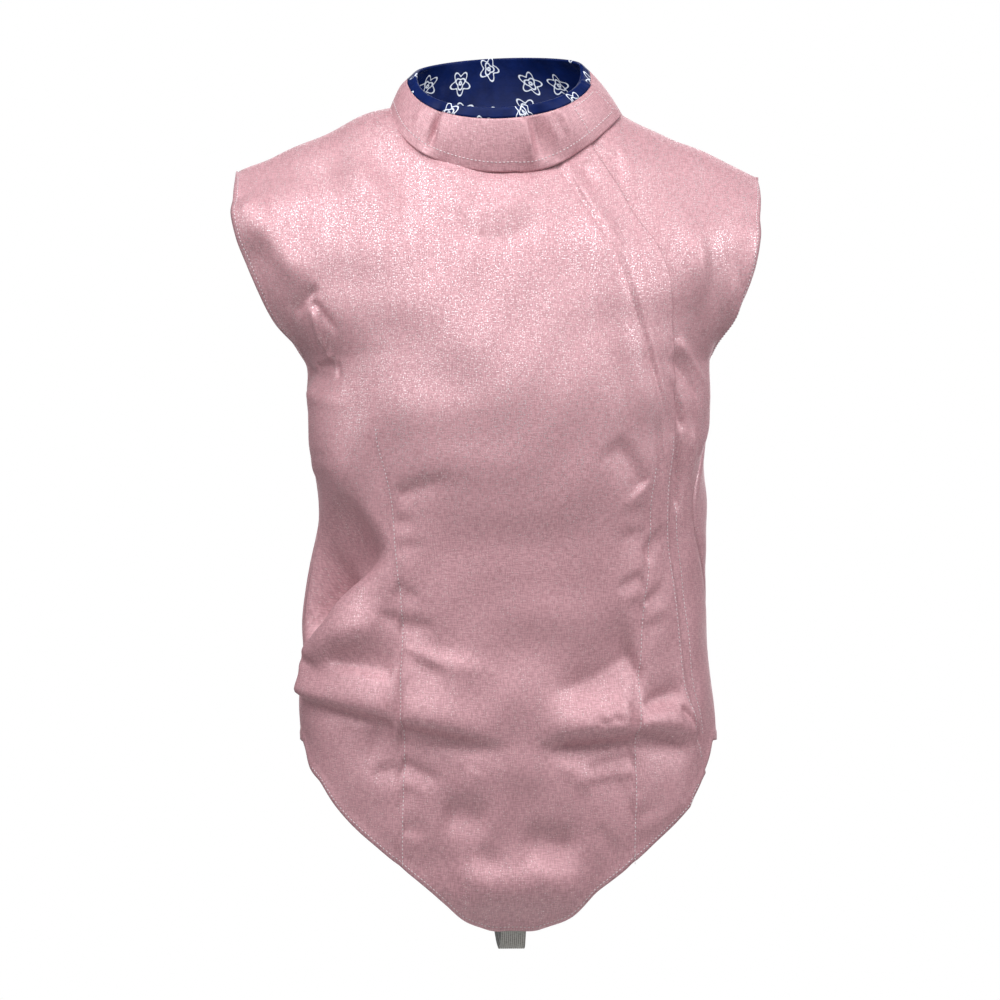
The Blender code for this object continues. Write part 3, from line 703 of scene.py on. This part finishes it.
def weave_uv(tree):
    return wire(tree, "ShaderNodeUVMap", uv_map="weave").outputs[0]


def stretched(tree, vector, along, across, shift=0.0):
    inputs = {"Vector": vector, "Scale": (along, across, 1), "Location": (shift, shift, 0)}
    return wire(tree, "ShaderNodeMapping", inputs).outputs[0]


def noise_on(tree, vector, detail=2.0, scale=1.0):
    inputs = {"Vector": vector, "Scale": scale, "Detail": detail}
    return wire(tree, "ShaderNodeTexNoise", inputs).outputs[0]


def step_up(tree, value, low, high):
    inputs = {"Value": value, "From Min": low, "From Max": high}
    return wire(tree, "ShaderNodeMapRange", inputs, interpolation_type="SMOOTHSTEP").outputs[0]


def effect_group(name, **colours):
    """An empty shader group with a socket in for each colour, and those sockets."""
    group = bpy.data.node_groups.new(name, "ShaderNodeTree")
    for label, colour in colours.items():
        made = group.interface.new_socket(label, in_out="INPUT", socket_type="NodeSocketColor")
        made.default_value = (*colour, 1)
    return group, group.nodes.new("NodeGroupInput").outputs


def put_out(group, **effects):
    """Gives the group a socket out for each effect, and links them."""
    for label in effects:
        kind = "NodeSocketColor" if label == "Colour" else "NodeSocketFloat"
        group.interface.new_socket(label, in_out="OUTPUT", socket_type=kind)
    leave = group.nodes.new("NodeGroupOutput")
    for label, socket in effects.items():
        group.links.new(socket, leave.inputs[label])
    return group


def dressed_in(name, group, bump, constants):
    """A material whose effects come from a group, with a bump of a depth and a strength."""
    made = bpy.data.materials.new(name)
    made.use_nodes = True
    tree = made.node_tree
    shader = tree.nodes["Principled BSDF"].inputs
    effects = wire(tree, "ShaderNodeGroup", node_tree=group).outputs
    for effect, label in {"Colour": "Base Color", "Metal": "Metallic", "Roughness": "Roughness"}.items():
        if effect in effects:
            tree.links.new(effects[effect], shader[label])
    if bump:
        raised = {"Height": effects["Height"], "Distance": bump[0], "Strength": bump[1]}
        tree.links.new(wire(tree, "ShaderNodeBump", raised).outputs[0], shader["Normal"])
    for label, value in constants.items():
        shader[label].default_value = value
    return made


# Warp and weft threads of the metal cloth: each thread catches the light along a short stretch,
# and here and there a flat of uncovered metal sparkles. The flecks crowd over the chest, in a band
# of heights where the lamps' highlight falls; their paler colour is a painted highlight, their metal
# and lower roughness are real. The collar's weave is counted from 1 up, past the height where they end.
LAME_PINK = (0.600, 0.325, 0.365)
LAME_SHADE = (0.440, 0.220, 0.250)
LAME_FLECK_PAINTED_HIGHLIGHT = (0.760, 0.635, 0.665)
# Heights of the band over the chest that gets the painted highlight: it fades in between the first two
# and ends between the last two, below the collar's weave.
HIGHLIGHT_PAINT_FROM, HIGHLIGHT_PAINT_FULL = -0.38, -0.24
HIGHLIGHT_PAINT_THIN, HIGHLIGHT_PAINT_END = 0.4, 0.6


def woven_metal():
    tree, given = effect_group(
        "woven metal threads with painted highlight", Thread=LAME_PINK, Shade=LAME_SHADE, Spark=LAME_FLECK_PAINTED_HIGHLIGHT
    )
    uv = weave_uv(tree)
    warp = noise_on(tree, stretched(tree, uv, 1100, 170), 1.0)
    weft = noise_on(tree, stretched(tree, uv, 170, 1100, 31.0), 1.0)
    threads = sums(tree, "MULTIPLY", sums(tree, "ADD", warp, weft), 0.5)
    grain = noise_on(tree, stretched(tree, uv, 900, 900, 7.0), 1.0)
    streaks = noise_on(tree, stretched(tree, uv, 160, 14, 3.0))
    swell = noise_on(tree, stretched(tree, uv, 34, 22, 11.0))
    lit = step_up(tree, threads, 0.38, 0.62)
    # The band of heights over the chest where the lamps' highlight falls: the flecks crowd there, a
    # painted highlight.
    height = wire(tree, "ShaderNodeSeparateXYZ", {0: uv}).outputs[1]
    highlight_band_paint = step_up(tree, height, HIGHLIGHT_PAINT_FROM, HIGHLIGHT_PAINT_FULL)
    highlight_band_paint = sums(tree, "SUBTRACT", highlight_band_paint, step_up(tree, height, HIGHLIGHT_PAINT_THIN, HIGHLIGHT_PAINT_END))
    chance = added(tree, added(tree, grain, streaks, 0.2), highlight_band_paint, 0.06)
    flecks_and_painted_highlight = step_up(tree, chance, 0.745, 0.835)
    colour = mixed(tree, lit, given["Shade"], given["Thread"])
    return put_out(
        tree,
        # The flecks' pale colour is a painted highlight; their metal and lower roughness are real.
        Colour=mixed(tree, flecks_and_painted_highlight, colour, given["Spark"]),
        Metal=added(tree, 0.10, flecks_and_painted_highlight, 0.6),
        Roughness=added(tree, 0.56, flecks_and_painted_highlight, -0.18),
        Height=added(tree, added(tree, threads, grain, 0.8), swell, 2.0),
    )


lame = dressed_in("lame", woven_metal(), (0.0003, 0.6), {"Specular IOR Level": 0.80})

# The satin that lines it: deep blue, with a loose scatter of small outlined rosettes.
SATIN_BLUE = (0.003, 0.015, 0.110)
SATIN_DEEP = (0.002, 0.006, 0.040)
PRINT_WHITE = (0.70, 0.75, 0.85)
MOTIF_APART = 0.034
LINE_WIDE = 0.0009


def outline(tree, distance, wide):
    """A line where the distance is nothing, fading out over its own width."""
    away = sums(tree, "ABSOLUTE", distance)
    return sums(tree, "SUBTRACT", 1.0, step_up(tree, away, wide * 0.5, wide))


def printed_satin():
    tree, given = effect_group(
        "outlined rosettes on satin", Ground=SATIN_BLUE, Deep=SATIN_DEEP, Line=PRINT_WHITE
    )
    uv = weave_uv(tree)
    tiles = stretched(tree, uv, 1 / MOTIF_APART, 1 / MOTIF_APART, 0.37)
    cells = {"Vector": tiles, "Scale": 1.0, "Randomness": 0.55}
    cell = wire(tree, "ShaderNodeTexVoronoi", cells, voronoi_dimensions="2D", feature="F1").outputs
    gap = {0: tiles, 1: cell["Position"]}
    gap = wire(tree, "ShaderNodeVectorMath", gap, operation="SUBTRACT").outputs[0]
    parts = wire(tree, "ShaderNodeSeparateXYZ", {0: gap}).outputs
    angle = sums(tree, "ARCTAN2", parts[1], parts[0])
    turn = wire(tree, "ShaderNodeSeparateColor", {0: cell["Color"]}).outputs[0]
    angle = added(tree, angle, turn, 6.0)
    petals = sums(tree, "COSINE", sums(tree, "MULTIPLY", angle, 5.0))
    leaves = sums(tree, "COSINE", sums(tree, "MULTIPLY", angle, 3.0))
    wide = LINE_WIDE / MOTIF_APART
    rings = (added(tree, 0.23, petals, 0.065), added(tree, 0.12, leaves, 0.035), 0.035)
    lines = [outline(tree, sums(tree, "SUBTRACT", cell["Distance"], ring), wide) for ring in rings]
    lines = sums(tree, "MAXIMUM", sums(tree, "MAXIMUM", lines[0], lines[1]), lines[2])
    cloudy = noise_on(tree, stretched(tree, uv, 90, 90))
    ground = mixed(tree, cloudy, given["Deep"], given["Ground"])
    fine = noise_on(tree, stretched(tree, uv, 260, 1900), 1.0)
    return put_out(
        tree,
        Colour=mixed(tree, lines, ground, given["Line"]),
        Height=added(tree, fine, cloudy, 4.0),
    )


satin_feel = {"Roughness": 0.42, "Specular IOR Level": 0.12}
satin = dressed_in("satin", printed_satin(), (0.0003, 0.5), satin_feel)

# The front's own mesh lines: its side edge, both darts, and the flap's edge with the underlap.
UNDERLAP = 0.014


def underlap_edge(z):
    return closure(z) - UNDERLAP


front_guides = [side_guide("front", -1.0)]
for which in ("right", "left"):
    for shift in (-1, 0, 1):
        front_guides.append(
            lambda z, which=which, shift=shift: dart(which, z)
            + shift * DART_WIDTH * (1 - 0.75 * ease((z + 0.20) / 0.15))
        )
front_guides += [underlap_edge, closure]
front_counts = ((50, 1.0), (3, 1.0), (3, 1.0), (80, 1.5), (3, 1.0), (3, 1.0), (9, 1.0), (8, 1.0))
front_lifts = panel_lifts("front") + (dart_grooves,)
front_points, front_weave = panel_points("front", front_guides, front_counts, front_lifts)
front_cloth = cloth_piece("front_cloth", front_points, front_weave, (lame, satin), CLOTH)
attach(front_cloth, "root")
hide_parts("front")

# The side front: the narrow panel on the wearer's left, from under the flap round to the side seam
# and the left armhole. Its edge lies flat under the flap, which fastens over it.
UNDERLAP_SINK = CLOTH + SEAM_GAP
UNDERLAP_RAMP = 0.022


def underlap_sink(across, z):
    return -UNDERLAP_SINK * (1 - ease((across - closure(z)) / UNDERLAP_RAMP))


def side_front_guide(z):
    """A line down the side front from the same corner, at a fixed share of its width."""
    corner = shoulder_line(NECK_HALF)
    edge = side_guide("front", 1.0)
    share = (arc_at("front", NECK_HALF, corner) - closure(corner)) / (edge(corner) - closure(corner))
    return closure(z) + share * (edge(z) - closure(z))


side_front_guides = (underlap_edge, closure, side_front_guide, side_guide("front", 1.0))
side_front_counts = ((8, 1.0), (27, -1.3), (27, 1.0))
side_front_lifts = panel_lifts("front") + (underlap_sink,)
side_front_points, side_front_weave = panel_points(
    "front", side_front_guides, side_front_counts, side_front_lifts
)
side_front_cloth = cloth_piece(
    "side_front_cloth", side_front_points, side_front_weave, (lame, satin), CLOTH
)
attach(side_front_cloth, "root")
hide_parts("side_front")

# The back: one piece of the same cloth from armhole to armhole, cut level at its hem and sewn to
# the fronts along the shoulders and the sides.
back_guides = [side_guide("back", -1.0), corner_guide("back", -1.0)]
back_guides += [lambda z: 0 * z, corner_guide("back", 1.0), side_guide("back", 1.0)]
back_counts = ((30, 1.0), (32, 1.5), (32, -1.5), (30, 1.0))
back_lifts = panel_lifts("back")
back_points, back_weave = panel_points("back", back_guides, back_counts, back_lifts)
back_cloth = cloth_piece("back_cloth", back_points, back_weave, (lame, satin), CLOTH)
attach(back_cloth, "root")
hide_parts("back")

# The collar: a standing band of the same cloth, stiffened, sewn to the neckline. Angles run from
# the wearer's left round by the back. Its far end laps over its near end, on the wearer's left of
# the front, and is fastened down there.
COLLAR_CLOTH = 0.0016
FACING_CLOTH = 0.0010
COLLAR_RAISE = 0.0016
COLLAR_BAND = 0.0085
COLLAR_START = -57.0
COLLAR_END = 340.0
LAP_FROM = 283.0
LAP_TO = 300.0
LAP_RISE = COLLAR_CLOTH + FACING_CLOTH + 2 * SEAM_GAP
COLLAR_TOP_HALF = 0.0665
COLLAR_TOP_MIDDLE = (-0.0065, -0.011)
COLLAR_TOP_REACH = {"front": 0.066, "back": 0.053}
COLLAR_TOP_TILT = 0.004
COLLAR_TOP_SIDE = 0.030
COLLAR_TOP_CHANGE = {"front": -0.034, "back": 0.012}
COLLAR_TOP_CURVE = 0.80
COLLAR_BULGE = 0.0025
# Folds of the collar: angle and spread in degrees, and height.
COLLAR_FOLDS = (
    (222.0, 5.0, -0.0034),
    (233.0, 5.0, 0.0018),
    (278.0, 5.0, 0.0030),
    (290.0, 5.0, -0.0040),
    (302.0, 5.0, 0.0024),
    (60.0, 8.0, 0.0022),
    (118.0, 8.0, -0.0022),
)


def length_along(points):
    return np.concatenate([[0], np.cumsum(np.linalg.norm(np.diff(points, axis=0), axis=1))])


def neck_ring(angle):
    """The line round the neck that the collar stands on."""
    x = NECK_HALF * np.cos(angle)
    points = []
    for side in ("front", "back"):
        z = neckline(side, x)
        points.append(on_body(side, arc_at(side, x, z), z))
    ring = np.where(np.sin(angle)[..., None] < 0, points[0], points[1])
    return ring + np.array((0, 0, COLLAR_RAISE))


def collar_top_ring(angle):
    ahead = np.sin(angle) < 0
    reach = np.where(ahead, COLLAR_TOP_REACH["front"], COLLAR_TOP_REACH["back"])
    change = np.where(ahead, COLLAR_TOP_CHANGE["front"], COLLAR_TOP_CHANGE["back"])
    x = COLLAR_TOP_MIDDLE[0] + COLLAR_TOP_HALF * np.cos(angle)
    y = COLLAR_TOP_MIDDLE[1] + reach * np.sin(angle)
    z = COLLAR_TOP_SIDE + change * np.abs(np.sin(angle)) ** COLLAR_TOP_CURVE
    z = z + COLLAR_TOP_TILT * np.cos(angle)
    return np.stack([x, y, z], axis=-1)


def collar_height(angle):
    return np.linalg.norm(collar_top_ring(angle) - neck_ring(angle), axis=-1)


def collar_place(turn, height, layer):
    """A point of the collar: its angle in degrees, how far up it, and how far out of it."""
    angle = np.radians(turn)
    step = 0.01
    foot, head = neck_ring(angle), collar_top_ring(angle)
    share = (height / np.linalg.norm(head - foot, axis=-1))[..., None]
    ahead = neck_ring(angle + step) * (1 - share) + collar_top_ring(angle + step) * share
    behind = neck_ring(angle - step) * (1 - share) + collar_top_ring(angle - step) * share
    out = unit(np.cross(ahead - behind, head - foot))
    belly = 4 * share[..., 0] * (1 - share[..., 0])
    lift = COLLAR_BULGE * belly + LAP_RISE * ease((turn - LAP_FROM) / (LAP_TO - LAP_FROM))
    for middle, spread, rise in COLLAR_FOLDS:
        off = (np.mod(turn, 360) - middle) / spread
        lift = lift + rise * belly * np.exp(-(off**2))
    return foot + (head - foot) * share + out * (lift + layer)[..., None]


def collar_turns(count):
    """Angles along the collar, in equal steps of length at its foot."""
    fine = np.linspace(COLLAR_START, COLLAR_END, 3000)
    run = length_along(neck_ring(np.radians(fine)))
    return np.interp(np.linspace(0, run[-1], count + 1), run, fine)


collar_columns = 330
collar_rows = 24
COLLAR_SEAM_IN = 0.0038
COLLAR_WEAVE_RISE = 1.0


def collar_grid(heights, layers, columns):
    """Points of the collar from heights and layers, one of each for every row and column."""
    turns = collar_turns(columns)
    run = length_along(neck_ring(np.radians(turns)))
    turn = turns + 0 * heights
    lift = layers + collar_creases(turn, heights)
    up = np.linalg.norm(np.diff(collar_place(turn, heights, lift), axis=0), axis=-1).cumsum(axis=0)
    up = np.concatenate([np.zeros((1, columns + 1)), up])
    return collar_place(turn, heights, lift), np.stack([run + 0 * up, up], axis=-1)


# Creases of the collar: angle, spread in degrees, the share of the height they are strongest at,
# how far they reach up and down from it as a share, and their height.
COLLAR_CREASES = (
    (219.0, 2.2, 0.50, 0.60, 0.0014),
    (223.5, 1.6, 0.50, 0.70, -0.0048),
    (227.5, 2.0, 0.55, 0.60, 0.0018),
    (233.0, 2.2, 0.75, 0.40, -0.0012),
    (279.5, 1.8, 0.45, 0.70, 0.0032),
    (285.5, 3.2, 0.45, 0.60, -0.0044),
    (294.0, 1.8, 0.50, 0.50, 0.0018),
    (299.0, 2.0, 0.45, 0.50, -0.0016),
    (210.0, 3.0, 0.50, 0.40, 0.0009),
    (172.0, 4.0, 0.50, 0.40, 0.0010),
    (140.0, 3.2, 0.45, 0.40, -0.0012),
    (122.0, 2.6, 0.55, 0.40, 0.0012),
    (96.0, 3.4, 0.50, 0.40, -0.0009),
    (70.0, 2.6, 0.50, 0.40, 0.0012),
    (48.0, 3.0, 0.55, 0.40, -0.0012),
    (20.0, 3.2, 0.50, 0.40, 0.0009),
)


def collar_creases(turn, height):
    share = height / collar_height(np.radians(turn))
    moved = 0 * turn
    for middle, spread, level, reach, rise in COLLAR_CREASES:
        across = np.exp(-(((np.mod(turn, 360) - middle) / spread) ** 2))
        moved = moved + rise * across * np.exp(-(((share - level) / reach) ** 2) * 3)
    return moved * ease(share / 0.15) * ease((0.86 - share) / 0.12)


full = collar_height(np.radians(collar_turns(collar_columns)))
below_band = full - COLLAR_BAND - SEAM_GAP
share = np.linspace(0, 1, collar_rows + 1)[:, None]
heights = share * below_band - (1 - share) * COLLAR_SEAM_IN
collar_points, collar_weave = collar_grid(heights, 0 * heights, collar_columns)
# Counting the collar's weave from 1 keeps the collar above the band of painted highlight on the lamé.
collar_weave = collar_weave + (0, COLLAR_WEAVE_RISE)
collar_cloth = cloth_piece("collar_cloth", collar_points, collar_weave, (lame,), COLLAR_CLOTH)
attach(collar_cloth, "root")
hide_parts("collar")

# The collar's lining: the blue printed satin goes up the inside, over the top and a little way
# down the outside, where it shows as a band.
lining_rows = 20
bend_steps = 8
through_it = COLLAR_CLOTH + SEAM_GAP + FACING_CLOTH
bend = through_it / 2
quarters = (0.25, 0.5, 0.75, 1.0)
lining = [
    (-through_it, k * below_band - (1 - k) * COLLAR_SEAM_IN)
    for k in np.linspace(0, 1, lining_rows + 1)
]
lining += [(-through_it, below_band * (1 - k) + (full - bend) * k) for k in quarters]
for angle in np.linspace(math.pi, 0, bend_steps + 1)[1:]:
    lining.append((bend * math.cos(angle) - bend, full - bend + bend * math.sin(angle)))
lining += [(0, (full - bend) * (1 - k) + (full - COLLAR_BAND) * k) for k in quarters]
layers = np.array([layer + 0 * full for layer, _ in lining])
heights = np.array([height for _, height in lining])
lining_points, lining_weave = collar_grid(heights, layers, collar_columns)
collar_lining = cloth_piece(
    "collar_lining",
    lining_points,
    lining_weave,
    (satin,),
    FACING_CLOTH,
    lambda place: (-place.x, -place.y, 0),
)
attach(collar_lining, "root")
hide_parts("collar_facing")

# The elastic strap: flat ribbed webbing sewn inside the front's point, which hangs below it and
# goes up between the legs to the back's hem.
STRAP_WIDTH = 0.020
STRAP_CLOTH = 0.0016
STRAP_FRONT_TOP = -0.632
STRAP_BACK_TOP = -0.494
STRAP_ROUTE = table("y z", (
    (-66, -660),
    (-61, -666),
    (-52, -668.2),
    (-38, -667),
    (-14, -659),
    (18, -643),
    (50, -612),
    (74, -574),
    (89, -540),
))

strap_columns = 8
strap_rows = 150
RIB_PITCH = 0.0016
# The rib tops take the pale colour; the grooves between them are painted darker, as shade.
ELASTIC_PALE = (0.500, 0.490, 0.460)
ELASTIC_GROOVE_SHADE = (0.200, 0.195, 0.180)


def inside(side, z):
    point = on_body(side, 0.0, z) - outward(side, 0.0, z) * (CLOTH + SEAM_GAP)
    return point[1:]


def ribbed_elastic():
    tree, given = effect_group("elastic ribs with painted groove shade", Pale=ELASTIC_PALE, Dark=ELASTIC_GROOVE_SHADE)
    uv = weave_uv(tree)
    across = wire(tree, "ShaderNodeSeparateXYZ", {0: uv}).outputs[0]
    ribs = sums(tree, "SINE", sums(tree, "MULTIPLY", across, 2 * math.pi / RIB_PITCH))
    level = added(tree, noise_on(tree, stretched(tree, uv, 300, 1500)), ribs, 0.25)
    # Darker where the ribs sink: painted shade in the grooves.
    groove_shade_blend = step_up(tree, level, 0.25, 0.75)
    return put_out(tree, Colour=mixed(tree, groove_shade_blend, given["Dark"], given["Pale"]), Height=level)


elastic_feel = {"Roughness": 0.85, "Sheen Weight": 0.2}
elastic = dressed_in("elastic", ribbed_elastic(), (0.0004, 0.7), elastic_feel)

front_foot, back_foot = float(hem_line("front", 0.0)), float(hem_line("back", 0.0))
route = [inside("front", z) for z in np.linspace(STRAP_FRONT_TOP, front_foot, 3)]
route += list(np.stack([STRAP_ROUTE["y"], STRAP_ROUTE["z"]], axis=-1))
route += [inside("back", z) for z in np.linspace(back_foot, STRAP_BACK_TOP, 3)]
route = np.array(route)
run = length_along(route)
at = np.linspace(0, run[-1], strap_rows + 1)
strap_y, strap_z = through(at, run, route[:, 0]), through(at, run, route[:, 1])
strap_x = np.linspace(-STRAP_WIDTH / 2, STRAP_WIDTH / 2, strap_columns + 1)
flat_x = strap_x + 0 * strap_y[:, None]
strap_points = np.stack([flat_x, strap_y[:, None] + 0 * flat_x, strap_z[:, None] + 0 * flat_x], axis=-1)
strap_weave = np.stack([flat_x, at[:, None] + 0 * flat_x], axis=-1)
strap_webbing = cloth_piece(
    "strap_webbing",
    strap_points,
    strap_weave,
    (elastic,),
    STRAP_CLOTH,
    lambda place: (0, place.y, -1),
)
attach(strap_webbing, "root")
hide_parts("strap")

# The stitching: rows of pale thread, each stitch a short lump on the cloth. They run down both
# darts and the flap, along the hem, round the armholes, and along the collar's foot and its tab.
STITCH_LONG = 0.0020
STITCH_PITCH = 0.0032
STITCH_THICK = 0.0004
STITCH_PROUD = 0.0002
THREAD_WHITE = (0.80, 0.74, 0.76)
THREAD_GREY = (0.60, 0.52, 0.55)


def thread_twist():
    tree, given = effect_group("thread twist", Pale=THREAD_WHITE, Grey=THREAD_GREY)
    place = wire(tree, "ShaderNodeTexCoord").outputs["Object"]
    mottled = noise_on(tree, place, 1.0, scale=900.0)
    return put_out(tree, Colour=mixed(tree, mottled, given["Grey"], given["Pale"]))


thread = dressed_in("thread", thread_twist(), None, {"Roughness": 0.6})


def stitches(name, rows):
    """Stitches along rows of points on the cloth, each row with the directions out of the cloth."""
    bm = bmesh.new()
    for points, out in rows:
        length = length_along(points)
        for start in np.arange(STITCH_PITCH / 2, length[-1] - STITCH_PITCH / 2, STITCH_PITCH):
            ends = [
                Vector([np.interp(start + shift, length, points[:, k]) for k in range(3)])
                for shift in (-STITCH_LONG / 2, STITCH_LONG / 2)
            ]
            up = Vector([np.interp(start, length, out[:, k]) for k in range(3)]).normalized()
            along = (ends[1] - ends[0]).normalized()
            side = up.cross(along).normalized()
            up = along.cross(side)
            turn = Matrix((along, side, up)).transposed().to_4x4()
            size = Matrix.Diagonal((STITCH_LONG / 2, STITCH_THICK, STITCH_THICK * 0.8, 1))
            middle = (ends[0] + ends[1]) / 2 + up * STITCH_PROUD
            bmesh.ops.create_uvsphere(
                bm,
                u_segments=6,
                v_segments=4,
                radius=1,
                matrix=Matrix.Translation(middle) @ turn @ size @ Matrix.Rotation(math.pi / 2, 4, "Y"),
            )
    piece = put_in_scene(name, bm, (thread,))
    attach(piece, "root")


def row_on_panel(side, lifts, across, z):
    """A row of places on a panel, and the directions out of it there."""
    out = outward(side, across, z)
    return on_body(side, across, z) + out * sum(lift(across, z) for lift in lifts)[..., None], out


def down_the_panel(top, foot, count=240):
    return np.linspace(top, foot, count)


DART_FOOT = -0.603
DART_STITCH_OUT = 0.0022
dart_rows = []
for which in ("right", "left"):
    z = down_the_panel(DART_TOP[which], DART_FOOT)
    dart_rows.append(row_on_panel("front", front_lifts, dart(which, z) + DART_STITCH_OUT, z))
stitches("dart_stitches", dart_rows)

FLAP_STITCH_IN = 0.003
FLAP_STITCH_TOP = -0.262
FLAP_STITCH_FOOT = -0.520
SECOND_ROW_OUT = 0.011
SECOND_ROW_TOP = -0.315
SECOND_ROW_FOOT = -0.500
z = down_the_panel(FLAP_STITCH_TOP, FLAP_STITCH_FOOT)
flap_rows = [row_on_panel("front", front_lifts, closure(z) - FLAP_STITCH_IN, z)]
z = down_the_panel(SECOND_ROW_TOP, SECOND_ROW_FOOT)
flap_rows.append(row_on_panel("front", side_front_lifts, closure(z) + SECOND_ROW_OUT, z))
stitches("flap_stitches", flap_rows)

HEM_STITCH_UP = 0.004
HEM_STITCH_FROM = -0.156
HEM_STITCH_TO = {"front": 0.148, "back": 0.156}
hem_rows = []
for side, lifts in (("front", front_lifts), ("back", back_lifts)):
    x = np.linspace(HEM_STITCH_FROM, HEM_STITCH_TO[side], 400)
    z = hem_line(side, x) + HEM_STITCH_UP
    hem_rows.append(row_on_panel(side, lifts, arc_at(side, x, z), z))
stitches("hem_stitches", hem_rows)

ARMHOLE_STITCH_IN = 0.005
armhole_rows = []
for side in ("front", "back"):
    for hand, name in ((-1.0, "right"), (1.0, "left")):
        z = down_the_panel(ARMHOLE_TOP[name] - 0.006, ARMHOLE_FOOT[name] + 0.004, 200)
        edge = side_guide(side, hand)(z) - hand * ARMHOLE_STITCH_IN
        lifts = back_lifts
        if side == "front":
            lifts = side_front_lifts if hand > 0 else front_lifts
        armhole_rows.append(row_on_panel(side, lifts, edge, z))
stitches("armhole_stitches", armhole_rows)

COLLAR_STITCH_UP = 0.0042
TAB_BOX_FROM, TAB_BOX_TO = 312.0, COLLAR_END - 4.0
turn = np.linspace(COLLAR_START + 6, COLLAR_END - 5, 700)
height = COLLAR_STITCH_UP + 0 * turn
collar_rows_sewn = []


def row_on_collar(turn, height):
    lift = collar_creases(turn, height)
    points = collar_place(turn, height, lift)
    out = collar_place(turn, height, lift + 0.001) - points
    return points, unit(out)


covered = (turn > COLLAR_START) & (turn < COLLAR_END - 360)
collar_rows_sewn.append(row_on_collar(turn[~covered], height[~covered]))
full_height = collar_height(np.radians(np.array([TAB_BOX_FROM, TAB_BOX_TO])))
low = np.linspace(0.0, 1.0, 60)
for across_turn, tall in zip((TAB_BOX_FROM, TAB_BOX_TO), full_height):
    up = COLLAR_STITCH_UP + low * (tall - COLLAR_BAND - 2 * COLLAR_STITCH_UP)
    collar_rows_sewn.append(row_on_collar(across_turn + 0 * up, up))
turn = np.linspace(TAB_BOX_FROM, TAB_BOX_TO, 80)
height = collar_height(np.radians(turn)) - COLLAR_BAND - COLLAR_STITCH_UP
collar_rows_sewn.append(row_on_collar(turn, height))
stitches("collar_stitches", collar_rows_sewn)

# The studio: a pale floor far below the held jacket, a pale surround and soft lamps.
FLOOR_DROP = -1.6
FLOOR_RADIUS = 1.5
bm = bmesh.new()
bmesh.ops.create_circle(bm, cap_ends=True, segments=96, radius=FLOOR_RADIUS)
floor_paint = bpy.data.materials.new("floor")
floor_paint.use_nodes = True
floor_look = floor_paint.node_tree.nodes["Principled BSDF"].inputs
floor_look["Base Color"].default_value = (0.82, 0.81, 0.80, 1)
floor_look["Roughness"].default_value = 0.9
floor = put_in_scene("floor", bm, (floor_paint,))
floor.location.z = FLOOR_DROP
floor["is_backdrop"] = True

scene = bpy.context.scene
scene.view_settings.view_transform = "Standard"
world = bpy.data.worlds.new("studio")
scene.world = world
world.use_nodes = True
sky = world.node_tree
surround = sky.nodes["Background"]
surround.inputs["Color"].default_value = (0.90, 0.91, 0.94, 1)
surround.inputs["Strength"].default_value = 0.11
seen = wire(sky, "ShaderNodeBackground", {"Color": (1, 1, 1, 1), "Strength": 1.0})
path = wire(sky, "ShaderNodeLightPath")
both = {0: path.outputs["Is Camera Ray"], 1: surround.outputs[0], 2: seen.outputs[0]}
chosen = wire(sky, "ShaderNodeMixShader", both)
sky.links.new(chosen.outputs[0], sky.nodes["World Output"].inputs["Surface"])

# Soft square lamps: place, the height they aim at, width and power.
LAMPS = {
    "key": ((-0.3, -1.5, 0.95), -0.15, 1.9, 27.5),
    "left": ((-1.8, -0.9, 0.8), -0.25, 1.4, 22.0),
    "upper_left": ((-0.6, -0.9, 2.0), -0.15, 1.4, 25.0),
    "right": ((1.8, -0.9, 0.9), -0.25, 1.4, 37.0),
    "rear": ((0.5, 2.4, 0.3), -0.30, 2.4, 42.0),
}
for name, (place, aim, width, power) in LAMPS.items():
    lamp = bpy.data.lights.new(name, "AREA")
    lamp.size = width
    lamp.energy = power
    holder = bpy.data.objects.new(name, lamp)
    holder.location = place
    holder.rotation_euler = (Vector((0, 0, aim)) - Vector(place)).to_track_quat("-Z", "Y").to_euler()
    scene.collection.objects.link(holder)

CAMERA_TURN = -5.0
CAMERA_RISE = 0.6
CAMERA_AWAY = 4.5
CAMERA_AIM = (-0.0045, 0.0, -0.3136)
FRAME_WIDTH = 0.8
lens = bpy.data.cameras.new("camera")
lens.sensor_width = 36.0
lens.lens = 36.0 * CAMERA_AWAY / FRAME_WIDTH
lens.clip_end = 50.0
camera = bpy.data.objects.new("camera", lens)
turn, rise = math.radians(CAMERA_TURN), math.radians(CAMERA_RISE)
back_off = Vector((math.sin(turn) * math.cos(rise), -math.cos(turn) * math.cos(rise), math.sin(rise)))
camera.location = Vector(CAMERA_AIM) + back_off * CAMERA_AWAY
camera.rotation_euler = (-back_off).to_track_quat("-Z", "Y").to_euler()
scene.collection.objects.link(camera)
scene.camera = camera

low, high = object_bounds()
